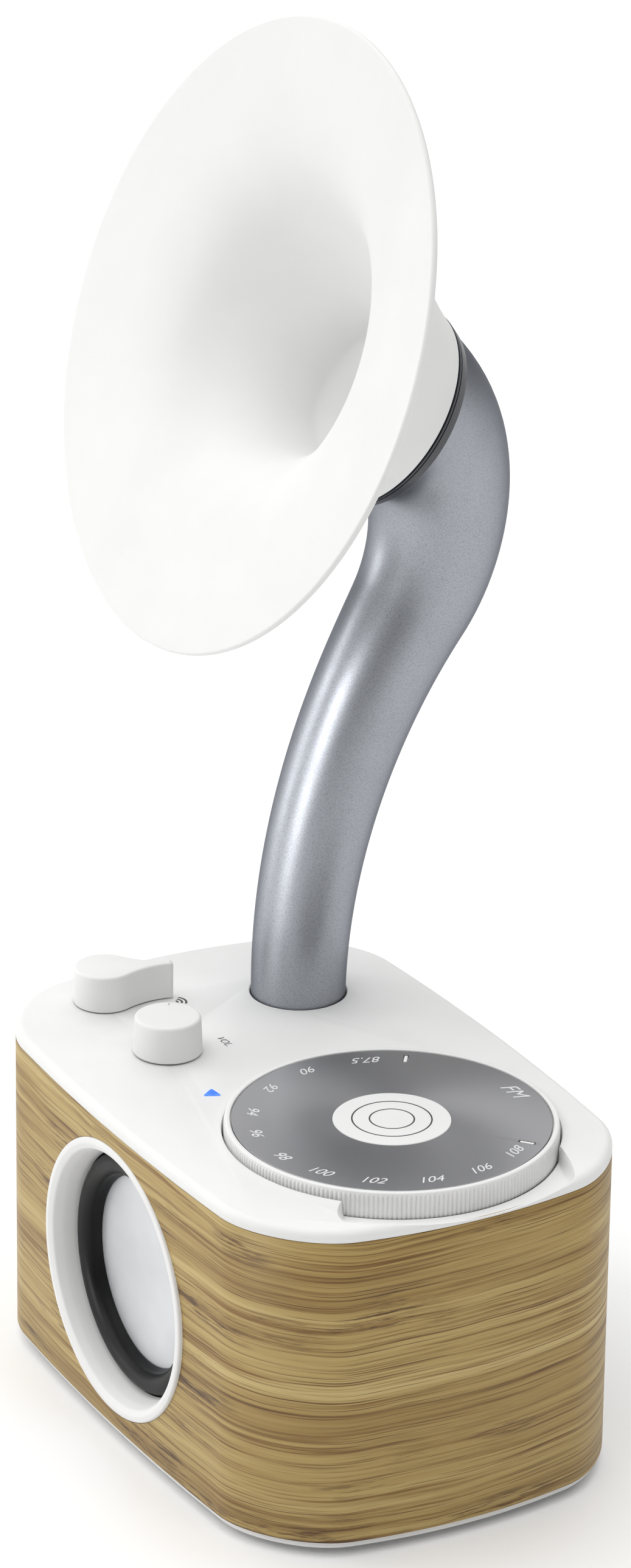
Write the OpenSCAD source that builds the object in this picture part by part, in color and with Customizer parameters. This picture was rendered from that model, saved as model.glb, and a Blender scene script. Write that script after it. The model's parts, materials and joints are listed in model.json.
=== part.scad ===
// Table loudspeaker: a wooden cabinet with a bass driver in its front, a tuning dial, two
// knobs and a light on its cover, and a swan-neck tube that carries a horn.
// +Z is up, the front faces -Y and +X is to the right as seen from the front. The origin lies
// on the surface that the feet stand on, below the middle of the cabinet.

/* [Cabinet] */
// Overall width of the cabinet
body_w = 210.8; // [208:0.2:216]
// Overall depth of the cabinet
body_d = 140.2; // [139:0.2:144]
// Radius of the corners in plan, before the sides are bowed
corner_r = 27; // [25:0.5:30]
// How far the left and right sides bow outwards
side_bow = 11; // [10:0.5:12]
// How far the front and back bow outwards
front_bow = 4.6; // [4.4:0.1:5]
// Height of the wooden sleeve
sleeve_h = 103; // [102:0.5:106]
// Thickness of the sleeve's left and right walls
side_wall = 5.5; // [5.3:0.1:5.8]
// Thickness of the sleeve's front and back walls
front_wall = 9.5; // [9.3:0.1:9.8]
// Height of the feet below the base plate
foot_h = 2.5; // [2:0.1:4]
// Height of the base plate's rim below the sleeve
rim_h = 2.5; // [2.4:0.1:4]
// Height of the cover above the sleeve
cover_h = 4.1; // [4:0.1:4.5]
// Radius of the cover's rounded upper edge
cover_round = 2.5; // [1:0.1:2.6]

/* [Dial] */
// Dial centre, distance right of the middle
dial_x = 44.4; // [44:0.1:44.6]
// Dial centre, distance behind the middle
dial_y = 5.2; // [4:0.1:6]
// Outer radius of the ribbed dial wheel
dial_r = 52.5; // [51.5:0.1:52.5]
// Radius of the printed dial face
dial_face_r = 50.5; // [49:0.1:50.6]
// Height of the dial face above the cover
dial_rise = 3; // [2.6:0.1:4]
// Number of ribs round the wheel
rib_count = 228; // [60:2:240]
// Depth of the well that the dial turns in
well_depth = 7.4; // [7.2:0.1:7.6]
// Number of teeth on each tuning gear
gear_teeth = 36; // [36:2:40]
// Tooth module of the tuning gears
gear_module = 0.8; // [0.75:0.01:0.8]

/* [Knobs and light] */
// Volume knob, distance right of the middle
volume_x = -37.1; // [-38:0.1:-36]
// Volume knob, distance behind the middle
volume_y = -30.9; // [-32:0.1:-30]
// Radius of the volume knob at its foot
volume_r = 11.2; // [10:0.1:12]
// Source knob, distance right of the middle
source_x = -80.3; // [-81:0.1:-79]
// Source knob, distance behind the middle
source_y = -31.5; // [-32:0.1:-30]
// Radius of the source knob's round part
source_r = 10; // [9:0.1:11]
// Distance from the source knob's axis to the end of its pointer
pointer_reach = 22.5; // [20:0.5:24]
// Direction of the source pointer, anticlockwise from +X
pointer_angle = 72; // [45:1:90]
// Height of both knobs
knob_h = 12.2; // [11:0.1:14]
// Light window, distance right of the middle
light_x = -3; // [-4:0.1:-2]
// Light window, distance behind the middle
light_y = -33; // [-34:0.1:-32]
// Distance from the light window's middle to its corners
light_r = 3.5; // [3:0.1:4]

/* [Bass driver] */
// Outer radius of the port ring in the front
port_r = 46.1; // [45:0.1:46.5]
// Inner radius of the port ring at its back
port_throat_r = 39.9; // [39.5:0.1:40.5]
// Radius of the flat disc in the middle of the driver
disc_r = 32.1; // [31:0.1:32.2]
// Radius of the bass driver's magnet
magnet_r = 32; // [28:0.5:34]

/* [Horn] */
// Plane of the horn, distance right of the middle
horn_x = -59.5; // [-60:0.1:-59]
// Foot of the neck, distance behind the middle
neck_y = 28.9; // [28:0.1:30]
// Outer radius of the neck at its foot
neck_r = 15.6; // [15:0.1:15.6]
// Wall thickness of the neck
neck_wall = 2; // [1.5:0.1:2.5]
// Where the neck begins to curl forwards, distance behind the middle
bend_y = 69; // [66:0.2:72]
// Height of the place where the neck begins to curl forwards
bend_z = 241.3; // [238:0.1:245]
// Slope of the neck's centre line at that place, above the horizontal
bend_slope = 59.6; // [57:0.1:62]
// Centre of the throat ring's back face, distance behind the middle
ring_y = 61.8; // [60:0.1:64]
// Height of the centre of the throat ring's back face
ring_z = 306.2; // [304:0.1:310]
// Outer radius of the throat ring at its back
ring_r = 32.4; // [32:0.1:33]
// Length of the throat ring
ring_len = 6.1; // [6:0.1:7]
// Upward tilt of the horn at the throat ring
throat_tilt = 33.4; // [30:0.1:35]
// Radius of the bell's mouth
bell_r = 101.2; // [95:0.1:105]
// Centre of the mouth, distance behind the middle
bell_y = 5.2; // [3:0.1:8]
// Height of the centre of the mouth
bell_z = 340.9; // [336:0.1:345]
// Upward tilt of the mouth
mouth_tilt = 20.4; // [18:0.1:24]

/* [Hidden] */
$fn = 72;
cut = 1;                               // overrun of a cutting shape past a face
fit = 0.3;                             // gap between a part and the pocket that it drops into

// Levels
rim_z = foot_h;
sleeve_z = foot_h + rim_h;
cover_z = sleeve_z + sleeve_h;
top_z = cover_z + cover_h;

// Plan outline
core_w = body_w - 2 * side_bow;
core_d = body_d - 2 * front_bow;
corner_steps = 8;
side_steps = 6;

// Base
rim_inset = 1.2;
locating_wall = 2.5;
base_wall_h = 6;
foot_r = 7;
foot_sink = 1.2;
foot_x = 78;
foot_y = 44;
base_screw_spots = [for (sx = [-1, 1], sy = [-1, 1]) [60 * sx, (body_d / 2 - 6.7) * sy]];
foot_spots = [for (sx = [-1, 1], sy = [-1, 1]) [foot_x * sx, foot_y * sy]];

// Cover
cover_lip = 2.2;                       // width of the sleeve's thinned upper edge
cover_step_z = cover_z - 4.2;          // level of the ledge inside the sleeve
skin = 2.7;
skirt_z = cover_z - 12;
skin_z = top_z - skin;
well_r = dial_r + 0.6;
well_z = top_z - well_depth;
tub_wall = 2;
tub_z = well_z - 2.5;
notch_z = cover_z - 1.2;
notch_reach = 15.5;
notch_start = -46.2;
boss_spots = [[-42, -9], [-42, 50], [30, 50], [30, -9]];
boss_z = 98;
boss_r = 4.5;
cover_screw_x = 62;
cover_screw_y = body_d / 2 - front_wall - 2.45;

// Dial stack
face_z = top_z + dial_rise;
face_t = 1.1;
wheel_z = top_z - 6;
web_z = face_z - face_t - 2.5;
spindle_r = 3;
running = 0.05;
hub_r = 9;
bush_top = wheel_z - 0.3;
bush_z = tub_z - 4;
spindle_z = 91;
gear_z = 92;
gear_h = 4;
gear_r = gear_module * gear_teeth / 2;
tuner_x = dial_x - 2 * gear_r;
centre_disc_r = 18.6;
slot_angles = [144.8, 40.8];
slot_r = 44.4;
slot_len = 5.6;
slot_w = 1.3;

// Controls
shaft_r = 3;
bushing_r = 3.5;
pot_r = 9;
pot_z = 99;
knob_gap = 0.5;
knob_z = top_z + knob_gap;
pointer_tip = 1.4;
pointer_root = 7;

// Board
board_z = 76;
board_t = 1.6;
board_top = board_z + board_t;

// Bass driver: distances along its axis, forwards from the middle of the cabinet
port_z = sleeve_z + sleeve_h / 2;
front_at = body_d / 2;
seat_at = front_at - 9.1;
gasket_t = 0.6;
flange_at = seat_at - gasket_t;
flange_r = 49.3;
disc_at = 57.4;
port_hole_r = 43;
woofer_screw_r = 46.4;
roll_r = 3.1;
woofer_pole_r = 11.9;
coil_r = 12.9;

// Rear panel
panel_z = 57;
panel_w = 125.4;
panel_h = 69.4;
panel_y = 65.5;
panel_t = 2.5;
dc_x = 34;
aux_x = -34;
jack_z = 40;
panel_screw_spots = [for (sx = [-1, 1], sz = [-1, 1]) [59.8 * sx, panel_z + 31.8 * sz]];

// Horn
function direction(tilt) = [0, -cos(tilt), sin(tilt)];
ring_back = [horn_x, ring_y, ring_z];
ring_front = ring_back + ring_len * direction(throat_tilt);
mouth = [horn_x, bell_y, bell_z];
neck_foot = [horn_x, neck_y, top_z];
bend = [horn_x, bend_y, bend_z];
bend_way = [0, cos(bend_slope), sin(bend_slope)];
neck_low_curve = [neck_foot, neck_foot + [0, 0, 69.8], bend - 15 * bend_way, bend];
neck_high_curve = [
    bend, bend + 23.3 * bend_way, ring_back - 25 * direction(throat_tilt), ring_back
];
neck_bottom_z = 100;
bend_r = 19.85;
neck_end_r = 31.8;
bell_reach = norm(mouth - ring_front);
bell_curve = [
    ring_front, ring_front + 0.45 * bell_reach * direction(throat_tilt),
    mouth - 0.45 * bell_reach * direction(mouth_tilt), mouth
];
bell_throat_r = 20.1;
bell_back_r = 34.3;
bell_wall = 2.2;
lip_t = 2.2;
funnel_start = 0.03;                   // the funnel's narrow end, clear of the horn driver
hollow_end = 0.86;
pinch = 10;
pinch_end = 0.12;                       // the funnel narrows faster from here to the driver
neck_sides = 36;
bell_sides = 56;

// ---- Outline of the cabinet ----

// Corner k of a rounded rectangle, as a list of points along its arc
function corner_arc(k, w, d, r) =
    let (sx = [1, 1, -1, -1][k], sy = [-1, 1, 1, -1][k])
    [for (i = [0:corner_steps]) let (a = 90 * (k - 1) + 90 * i / corner_steps)
        [sx * (w / 2 - r) + r * cos(a), sy * (d / 2 - r) + r * sin(a)]];

// Points between p and q, without p and q themselves
function between(p, q) = [for (i = [1:side_steps - 1]) p + (q - p) * i / side_steps];

// Moves a point of a rounded rectangle outwards, most in the middle of each side
function bowed(p, w, d) = [
    p.x + sign(p.x) * side_bow * (1 - pow(2 * p.y / d, 2)) * pow(2 * p.x / w, 2),
    p.y + sign(p.y) * front_bow * (1 - pow(2 * p.x / w, 2)) * pow(2 * p.y / d, 2)
];

function outline(inset_x, inset_y) =
    let (w = core_w - 2 * inset_x, d = core_d - 2 * inset_y)
    let (r = corner_r - max(inset_x, inset_y))
    [for (k = [0:3]) let (arc = corner_arc(k, w, d, r), next = corner_arc((k + 1) % 4, w, d, r))
        each [for (p = concat(arc, between(arc[corner_steps], next[0]))) bowed(p, w, d)]];

module plan(inset_x = 0, inset_y = -1) {
    polygon(outline(inset_x, inset_y < 0 ? inset_x : inset_y));
}

module slab(low, high, inset_x = 0, inset_y = -1) {
    translate([0, 0, low])
        linear_extrude(high - low)
            plan(inset_x, inset_y);
}

// ---- Sweeps along a curve ----

function unit(v) = v / norm(v);

function curve_point(c, t) =
    pow(1 - t, 3) * c[0] + 3 * pow(1 - t, 2) * t * c[1]
    + 3 * (1 - t) * t * t * c[2] + pow(t, 3) * c[3];

function curve_slope(c, t) = unit(
    pow(1 - t, 2) * (c[1] - c[0]) + 2 * (1 - t) * t * (c[2] - c[1]) + t * t * (c[3] - c[2])
);

// Points of a circle round the point c, square to the direction d
function hoop(c, d, r, sides) =
    let (u = unit([1, 0, 0] - d.x * d), v = cross(d, u))
    [for (i = [0:sides - 1]) c + r * cos(360 * i / sides) * u + r * sin(360 * i / sides) * v];

// Two triangles for each side between hoop a and hoop b
function band(a, b, sides) = [
    for (i = [0:sides - 1]) let (j = (i + 1) % sides)
        each [
            [a * sides + i, b * sides + i, b * sides + j],
            [a * sides + i, b * sides + j, a * sides + j]
        ]
];

// A closed shell: hoops out along its outside and back along its inside
module shell_sweep(hoops, sides) {
    count = len(hoops);
    polyhedron(
        points = [for (h = hoops) each h],
        faces = [for (k = [0:count - 1]) each band(k, (k + 1) % count, sides)],
        convexity = 6
    );
}

// A solid rod: hoops from one capped end to the other
module rod_sweep(hoops, sides) {
    count = len(hoops);
    polyhedron(
        points = [for (h = hoops) each h],
        faces = concat(
            [[for (i = [0:sides - 1]) i]],
            [for (k = [0:count - 2]) each band(k, k + 1, sides)],
            [[for (i = [0:sides - 1]) count * sides - 1 - i]]
        ),
        convexity = 6
    );
}

// ---- Small shared shapes ----

module tube(r_out, r_in, low, high) {
    rotate_extrude()
        translate([r_in, low])
            square([r_out - r_in, high - low]);
}

module rod(r, low, high) {
    translate([0, 0, low])
        cylinder(r = r, h = high - low);
}

// Screw along +Z, with the underside of its head at the origin
module screw(r, length, head_r, head_h) {
    difference() {
        union() {
            cylinder(r = r, h = length, $fn = 24);
            translate([0, 0, -head_h])
                cylinder(r = head_r, h = head_h, $fn = 32);
        }
        for (a = [0, 90])
            rotate(a)
                translate([-head_r * 0.65, -0.35, -head_h - cut])
                    cube([head_r * 1.3, 0.7, cut + head_h * 0.5]);
    }
}

// Turns +Z to point forwards out of the bass driver
module on_driver_axis() {
    translate([0, 0, port_z])
        rotate([90, 0, 0])
            children();
}

// Turns +Z to point out of the horn, with the origin on the back of the throat ring
module on_horn_axis() {
    translate(ring_back)
        rotate([90 - throat_tilt, 0, 0])
            children();
}

module at_spots(spots, z) {
    for (p = spots)
        translate([p.x, p.y, z])
            children();
}

// ---- Cabinet ----

module port_cuts() {
    rod(port_hole_r, seat_at - 3, front_at + 2);
    rod(port_r + 0.1, front_at - 2.5, front_at + 3);
    rod(50.5, 55, seat_at);
    for (a = [45:90:315])
        rotate(a)
            translate([woofer_screw_r, 0, 0])
                rod(1.5, seat_at - cut, seat_at + 5.5);
}

module rear_cuts() {
    translate([-panel_w / 2 - 0.2, panel_y, panel_z - panel_h / 2 - 0.2])
        cube([panel_w + 0.4, 10, panel_h + 0.4]);
    translate([-57, 50, panel_z - 29])
        cube([114, 25, 58]);
    for (p = panel_screw_spots)
        translate([p.x, 0, p.y])
            rotate([-90, 0, 0])
                rod(1.5, 58, 70);
}

module wood_sleeve() {
    color([0.68, 0.55, 0.34])
    difference() {
        slab(sleeve_z, cover_z);
        slab(sleeve_z - cut, cover_step_z + cut, side_wall, front_wall);
        slab(cover_step_z, cover_z + cut, cover_lip);
        on_driver_axis()
            port_cuts();
        rear_cuts();
        at_spots(base_screw_spots, 0)
            rod(1.5, sleeve_z - cut, sleeve_z + 12);
        for (sx = [-1, 1], sy = [-1, 1])
            translate([cover_screw_x * sx, cover_screw_y * sy, skirt_z + 3])
                rotate([-90 * sy, 0, 0])
                    rod(1.25, 0, 8.5);
    }
}

module base_plate() {
    color([0.93, 0.93, 0.92])
    difference() {
        union() {
            slab(rim_z, sleeve_z, rim_inset);
            difference() {
                slab(sleeve_z - cut, sleeve_z + base_wall_h, side_wall + fit, front_wall + fit);
                slab(sleeve_z, sleeve_z + base_wall_h + cut,
                    side_wall + fit + locating_wall, front_wall + fit + locating_wall);
                translate([-28, -body_d / 2, sleeve_z])
                    cube([56, 20, 10]);
            }
        }
        at_spots(foot_spots, 0)
            rod(foot_r, rim_z - cut, rim_z + foot_sink);
        at_spots(base_screw_spots, 0) {
            rod(1.5, rim_z - cut, sleeve_z + cut);
            rod(2.8, rim_z - cut, rim_z + 1.5);
        }
    }
}

module feet() {
    color([0.12, 0.12, 0.13])
    at_spots(foot_spots, 0)
        rotate_extrude()
            polygon([[0, 0], [foot_r - 1, 0], [foot_r, 1], [foot_r, rim_z + foot_sink],
                [0, rim_z + foot_sink]]);
}

module base_screws() {
    color([0.6, 0.6, 0.62])
    at_spots(base_screw_spots, rim_z + 1.5)
        screw(1.5, 12.5, 2.7, 1.3);
}

module cover_screws() {
    color([0.6, 0.6, 0.62])
    for (sx = [-1, 1], sy = [-1, 1])
        translate([cover_screw_x * sx, (cover_screw_y - locating_wall - 2 * fit) * sy, skirt_z + 3])
            rotate([-90 * sy, 0, 0])
                screw(1.25, 8, 2.4, 1.5);
}

// ---- Cover ----

module cover_plate() {
    for (i = [0:4])
        let (a = 22.5 * i)
            slab(cover_z, top_z - cover_round * (1 - sin(a)), cover_round * (1 - cos(a)));
    slab(cover_step_z + 0.1, cover_z + cut, cover_lip + 0.2);
}

module cover_skirt() {
    difference() {
        slab(skirt_z, skin_z, side_wall + fit, front_wall + fit);
        slab(skirt_z - cut, skin_z + cut,
            side_wall + fit + locating_wall, front_wall + fit + locating_wall);
        translate([-34, -body_d / 2, skirt_z - cut])
            cube([68, 20, cover_step_z - skirt_z + cut]);
    }
}

// The scoop beside the dial, where a finger reaches the wheel
module finger_notch() {
    translate([dial_x, dial_y, 0])
        intersection() {
            linear_extrude(top_z + 2)
                polygon([
                    [0, 0], 90 * [cos(notch_start), sin(notch_start)], [90, 29], [35.6, 40]
                ]);
            rotate_extrude($fn = 96)
                polygon(concat(
                    [[0, notch_z]],
                    [for (i = [0:6])
                        let (out = notch_reach * i / 6)
                            [well_r + out, notch_z + 2 * pow(out / 8, 1.8)]],
                    [[0, top_z + 1]]
                ));
        }
}

module cover_tubs() {
    intersection() {
        translate([dial_x, dial_y, 0])
            rod(well_r + tub_wall, tub_z, skin_z);
        slab(tub_z - cut, skin_z + cut, side_wall + fit, front_wall + fit);
    }
    intersection() {
        translate([dial_x + 28, dial_y - 50, cover_step_z + 0.1])
            cube([62, 100, 5.5]);
        slab(cover_step_z, skin_z, cover_lip + 0.2);
    }
    at_spots(boss_spots, 0)
        rod(boss_r, boss_z, skin_z);
}

module cover_holes() {
    translate([dial_x, dial_y, 0]) {
        rod(well_r, well_z, top_z + cut);
        rod(5.5, tub_z - cut, well_z + cut);
    }
    finger_notch();
    translate([horn_x, neck_y, 0])
        rod(neck_r + fit, skin_z - cut, top_z + cut);
    translate([horn_x, neck_y, 0])
        for (a = [0, 120, 240])
            rotate(a)
                translate([19, 0, 0])
                    rod(1.25, skin_z - cut, top_z - 0.9);
    for (p = [[volume_x, volume_y], [source_x, source_y]])
        translate([p.x, p.y, 0])
            rod(bushing_r + 0.1, skin_z - cut, top_z + cut);
    translate([light_x, light_y, skin_z - cut])
        rotate(35)
            cylinder(r = light_r + 0.1, h = skin + 2 * cut, $fn = 3);
    on_driver_axis()
        rod(flange_r + 1.2, 50, seat_at);
    at_spots(boss_spots, 0)
        rod(1.5, boss_z - cut, boss_z + 5.5);
    for (sx = [-1, 1], sy = [-1, 1])
        translate([cover_screw_x * sx, 0, skirt_z + 3])
            rotate([-90 * sy, 0, 0])
                rod(1.25, cover_screw_y - 5, cover_screw_y + 1);
}

module top_cover() {
    color([0.95, 0.95, 0.94])
    difference() {
        union() {
            difference() {
                cover_plate();
                slab(cover_step_z - cut, skin_z, side_wall + fit + locating_wall,
                    front_wall + fit + locating_wall);
            }
            cover_skirt();
            cover_tubs();
        }
        cover_holes();
    }
}

// ---- Bass driver ----

module port_ring() {
    color([0.95, 0.95, 0.94])
    on_driver_axis()
        rotate_extrude($fn = 96)
            polygon(concat(
                [[port_throat_r, flange_at + 0.2], [port_hole_r - 0.2, flange_at + 0.2],
                [port_hole_r - 0.2, front_at - 2.5], [port_r, front_at - 2.5]],
                [for (a = [0:22.5:90]) [port_r - 1 + cos(a), front_at - 0.6 + sin(a)]],
                [for (a = [90:15:165])
                    [port_r - 2.1 + 2.5 * cos(a), front_at - 1.6 + 2 * sin(a)]],
                [[port_throat_r + 1.2, front_at - 4], [port_throat_r + 0.4, front_at - 7]]
            ));
}

module woofer_gasket() {
    color([0.15, 0.15, 0.16])
    on_driver_axis()
        difference() {
            tube(flange_r, port_hole_r + 0.3, flange_at, seat_at);
            for (a = [45:90:315])
                rotate(a)
                    translate([woofer_screw_r, 0, 0])
                        rod(1.6, flange_at - cut, seat_at + cut);
        }
}

module woofer_frame() {
    color([0.25, 0.25, 0.27])
    on_driver_axis()
        difference() {
            rotate_extrude()
                polygon([[38.6, flange_at - 1.8], [38.6, flange_at - 0.5],
                    [port_hole_r, flange_at - 0.5], [port_hole_r, flange_at],
                    [flange_r, flange_at], [flange_r, flange_at - 1.8], [42.4, flange_at - 1.8],
                    [31, 40], [31, 38], [14, 38], [14, 40], [29.4, 40], [40.8, flange_at - 1.8]]);
            for (a = [0:60:300])
                rotate(a)
                    translate([25, -8, 44.5])
                        cube([25, 16, 10]);
            for (a = [45:90:315])
                rotate(a)
                    translate([woofer_screw_r, 0, 0])
                        rod(1.5, flange_at - 4, flange_at + cut);
        }
}

module woofer_surround() {
    color([0.1, 0.1, 0.11])
    on_driver_axis()
        rotate_extrude()
            translate([35.7, flange_at - 0.5])
                difference() {
                    union() {
                        circle(r = roll_r + 0.6, $fn = 48);
                        translate([roll_r, 0])
                            square([port_throat_r + 1.2 - 35.7 - roll_r, 0.5]);
                    }
                    circle(r = roll_r, $fn = 48);
                    translate([-10, -10])
                        square([20, 10]);
                }
}

module woofer_spider() {
    color([0.75, 0.6, 0.3])
    on_driver_axis()
        rotate_extrude()
            polygon(concat(
                [for (i = [0:24]) [coil_r + 15.5 * i / 24, 42.2 + 0.6 * sin(75 * i)]],
                [for (i = [24:-1:0]) [coil_r + 15.5 * i / 24, 41.7 + 0.6 * sin(75 * i)]]
            ));
}

module woofer_top_plate() {
    color([0.55, 0.55, 0.57])
    on_driver_axis()
        tube(magnet_r - 2, 13.5, 34, 38);
}

module woofer_magnet() {
    color([0.2, 0.2, 0.21])
    on_driver_axis()
        tube(magnet_r, 17, 23, 34);
}

module woofer_pole() {
    color([0.55, 0.55, 0.57])
    on_driver_axis() {
        rod(magnet_r - 2, 19, 23);
        rod(woofer_pole_r, 22, 38);
    }
}

module woofer_screws() {
    color([0.6, 0.6, 0.62])
    on_driver_axis()
        for (a = [45:90:315])
            rotate(a)
                translate([woofer_screw_r, 0, flange_at - 1.8])
                    screw(1.5, 7.3, 2.6, 1.6);
}

module woofer_disc() {
    color([0.75, 0.76, 0.77])
    on_driver_axis()
        rotate_extrude($fn = 96)
            polygon([[0, disc_at - 1.2], [disc_r, disc_at - 1.2], [disc_r, disc_at - 0.4],
                [disc_r - 0.4, disc_at], [0, disc_at]]);
}

module woofer_cone() {
    color([0.15, 0.15, 0.16])
    on_driver_axis()
        rotate_extrude()
            polygon([[coil_r, 46], [coil_r + 0.8, 46], [disc_r, disc_at - 2.4],
                [disc_r, disc_at - 1.2], [disc_r - 1.2, disc_at - 1.2], [coil_r, 47]]);
}

module woofer_coil() {
    color([0.72, 0.45, 0.2])
    on_driver_axis()
        tube(coil_r, coil_r - 0.6, 31, 47);
}

// ---- Rear panel and jacks ----

module rear_panel() {
    color([0.1, 0.1, 0.11])
    difference() {
        translate([-panel_w / 2, panel_y, panel_z - panel_h / 2])
            cube([panel_w, panel_t, panel_h]);
        for (p = panel_screw_spots)
            translate([p.x, 0, p.y])
                rotate([-90, 0, 0]) {
                    rod(1.5, panel_y - cut, panel_y + panel_t + cut);
                    rod(2.6, panel_y + 1.2, panel_y + panel_t + cut);
                }
        translate([dc_x, 0, jack_z])
            rotate([-90, 0, 0])
                rod(5.5, panel_y - cut, panel_y + panel_t + cut);
        translate([aux_x, 0, jack_z])
            rotate([-90, 0, 0])
                rod(4, panel_y - cut, panel_y + panel_t + cut);
    }
}

module rear_screws() {
    color([0.35, 0.35, 0.36])
    for (p = panel_screw_spots)
        translate([p.x, panel_y + 1.2, p.y])
            rotate([90, 0, 0])
                screw(1.5, 7, 2.5, 1.2);
}

module dc_jack() {
    color([0.08, 0.08, 0.09])
    translate([dc_x, 0, jack_z])
        rotate([-90, 0, 0]) {
            difference() {
                union() {
                    rod(5.5, panel_y - cut, panel_y + panel_t + 0.4);
                    translate([-6.5, -6.5, 53])
                        cube([13, 13, panel_y - 53]);
                }
                rod(2.85, panel_y - 8, panel_y + panel_t + cut);
            }
            rod(1, panel_y - 8.5, panel_y + 1);
        }
}

module aux_jack() {
    color([0.08, 0.08, 0.09])
    translate([aux_x, 0, jack_z])
        rotate([-90, 0, 0])
            difference() {
                union() {
                    rod(4, panel_y - cut, panel_y + panel_t + 0.4);
                    translate([-5.5, -6, 51])
                        cube([11, 12, panel_y - 51]);
                }
                rod(1.8, 53.4, panel_y + panel_t + cut);
            }
}

// ---- Electronics ----

module main_board() {
    color([0.1, 0.35, 0.2])
    difference() {
        translate([-46, -13, board_z])
            cube([80, 67, board_t]);
        at_spots(boss_spots, 0)
            rod(1.5, board_z - cut, board_top + cut);
    }
}

module board_standoffs() {
    color([0.8, 0.65, 0.3])
    at_spots(boss_spots, 0)
        difference() {
            union() {
                translate([0, 0, board_top])
                    cylinder(r = 3.2, h = boss_z - board_top, $fn = 6);
                rod(1.5, boss_z - cut, boss_z + 5);
            }
            rod(1.5, board_top - cut, board_top + 7);
        }
}

module board_screws() {
    color([0.6, 0.6, 0.62])
    at_spots(boss_spots, board_z)
        screw(1.5, 6, 2.8, 1.8);
}

module amplifier_chip() {
    color([0.12, 0.12, 0.13])
    translate([-26, 18, board_top])
        cube([12, 12, 1.8]);
}

module heat_sink() {
    color([0.62, 0.63, 0.65])
    translate([-32, 14, board_top + 1.8]) {
        cube([24, 20, 2]);
        for (i = [0:6])
            translate([3.75 * i, 0, 1])
                cube([1.5, 20, 11]);
    }
}

module board_capacitors() {
    color([0.15, 0.2, 0.4])
    for (i = [0:3])
        translate([-34 + 13 * i, 45, board_top])
            cylinder(r = 4.5, h = 13, $fn = 40);
}

module radio_module() {
    color([0.7, 0.71, 0.73])
    translate([6, 22, board_top])
        cube([22, 14, 3.4]);
}

module tuning_pot() {
    color([0.2, 0.25, 0.5])
    translate([tuner_x, dial_y, 0])
        difference() {
            union() {
                translate([-6, -6, board_top])
                    cube([12, 12, 7]);
                rod(4.5, board_top + 6, board_top + 11);
            }
            rod(shaft_r + running, board_top + 2, board_top + 12);
        }
}

module panel_control() {
    difference() {
        union() {
            rod(pot_r, pot_z, skin_z);
            rod(bushing_r, skin_z - cut, top_z + 2.6);
        }
        rod(shaft_r + running, pot_z + 3, top_z + 3 + cut);
    }
    for (i = [-1:1])
        translate([4 * i - 0.75, -pot_r - 1.5, pot_z + 0.5])
            cube([1.5, 4, 1]);
}

module volume_pot() {
    color([0.5, 0.5, 0.52])
    translate([volume_x, volume_y, 0])
        panel_control();
}

module source_switch() {
    color([0.5, 0.5, 0.52])
    translate([source_x, source_y, 0])
        panel_control();
}

module control_nuts() {
    color([0.75, 0.75, 0.76])
    for (p = [[volume_x, volume_y], [source_x, source_y]])
        translate([p.x, p.y, top_z])
            difference() {
                cylinder(r = 5.8, h = 1.9, $fn = 6);
                rod(bushing_r, -cut, 1.9 + cut);
            }
}

module light_window() {
    color([0.1, 0.25, 0.9])
    translate([light_x, light_y, 103])
        rotate(35)
            cylinder(r = light_r, h = top_z + 0.3 - 103, $fn = 3);
}

module light_board() {
    color([0.1, 0.35, 0.2])
    translate([light_x, light_y, 0]) {
        translate([-6, -5, 100])
            cube([12, 10, 1.2]);
        translate([-1.5, -1.5, 101])
            cube([3, 3, 2]);
    }
}

// ---- Tuning dial ----

module at_dial() {
    translate([dial_x, dial_y, 0])
        children();
}

module dial_bush() {
    color([0.8, 0.65, 0.3])
    at_dial()
        difference() {
            union() {
                rod(5.5, bush_z, well_z + 0.6);
                rod(8, well_z, bush_top);
            }
            rod(spindle_r + running, bush_z - cut, bush_top + cut);
        }
}

module dial_wheel() {
    color([0.95, 0.95, 0.94])
    at_dial()
        difference() {
            union() {
                translate([0, 0, wheel_z])
                    linear_extrude(face_z - wheel_z - 1)
                        polygon([for (i = [0:2 * rib_count - 1])
                            let (r = dial_r - 0.6 * (i % 2), a = 180 * i / rib_count)
                            [r * cos(a), r * sin(a)]]);
                rod(dial_r - 0.3, face_z - 1.2, face_z + 0.2);
            }
            rod(dial_face_r, face_z - face_t, face_z + cut);
            difference() {
                rod(dial_r - 3, wheel_z - cut, web_z);
                rod(hub_r, wheel_z - 2 * cut, web_z + cut);
            }
            rod(spindle_r, wheel_z - cut, web_z + 2);
        }
}

module dial_face() {
    color([0.45, 0.45, 0.47])
    at_dial()
        difference() {
            tube(dial_face_r - 0.05, centre_disc_r, face_z - face_t, face_z);
            for (a = slot_angles)
                rotate(a)
                    translate([slot_r - slot_len / 2, -slot_w / 2, face_z - face_t - cut])
                        cube([slot_len, slot_w, face_t + 2 * cut]);
        }
}

module dial_centre_disc() {
    color([0.94, 0.94, 0.93])
    at_dial()
        rod(centre_disc_r - 0.05, face_z - face_t, face_z + 0.1);
}

module dial_spindle() {
    color([0.7, 0.7, 0.72])
    at_dial()
        difference() {
            rod(spindle_r, spindle_z, web_z + 2);
            tube(spindle_r + cut, spindle_r - 0.6, bush_z - 1.4, bush_z - 0.6);
        }
}

module dial_clip() {
    color([0.3, 0.3, 0.32])
    at_dial()
        difference() {
            tube(5, spindle_r - 0.6, bush_z - 1.4, bush_z - 0.6);
            translate([0, -1.8, bush_z - 2])
                cube([8, 3.6, 2]);
        }
}

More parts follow.
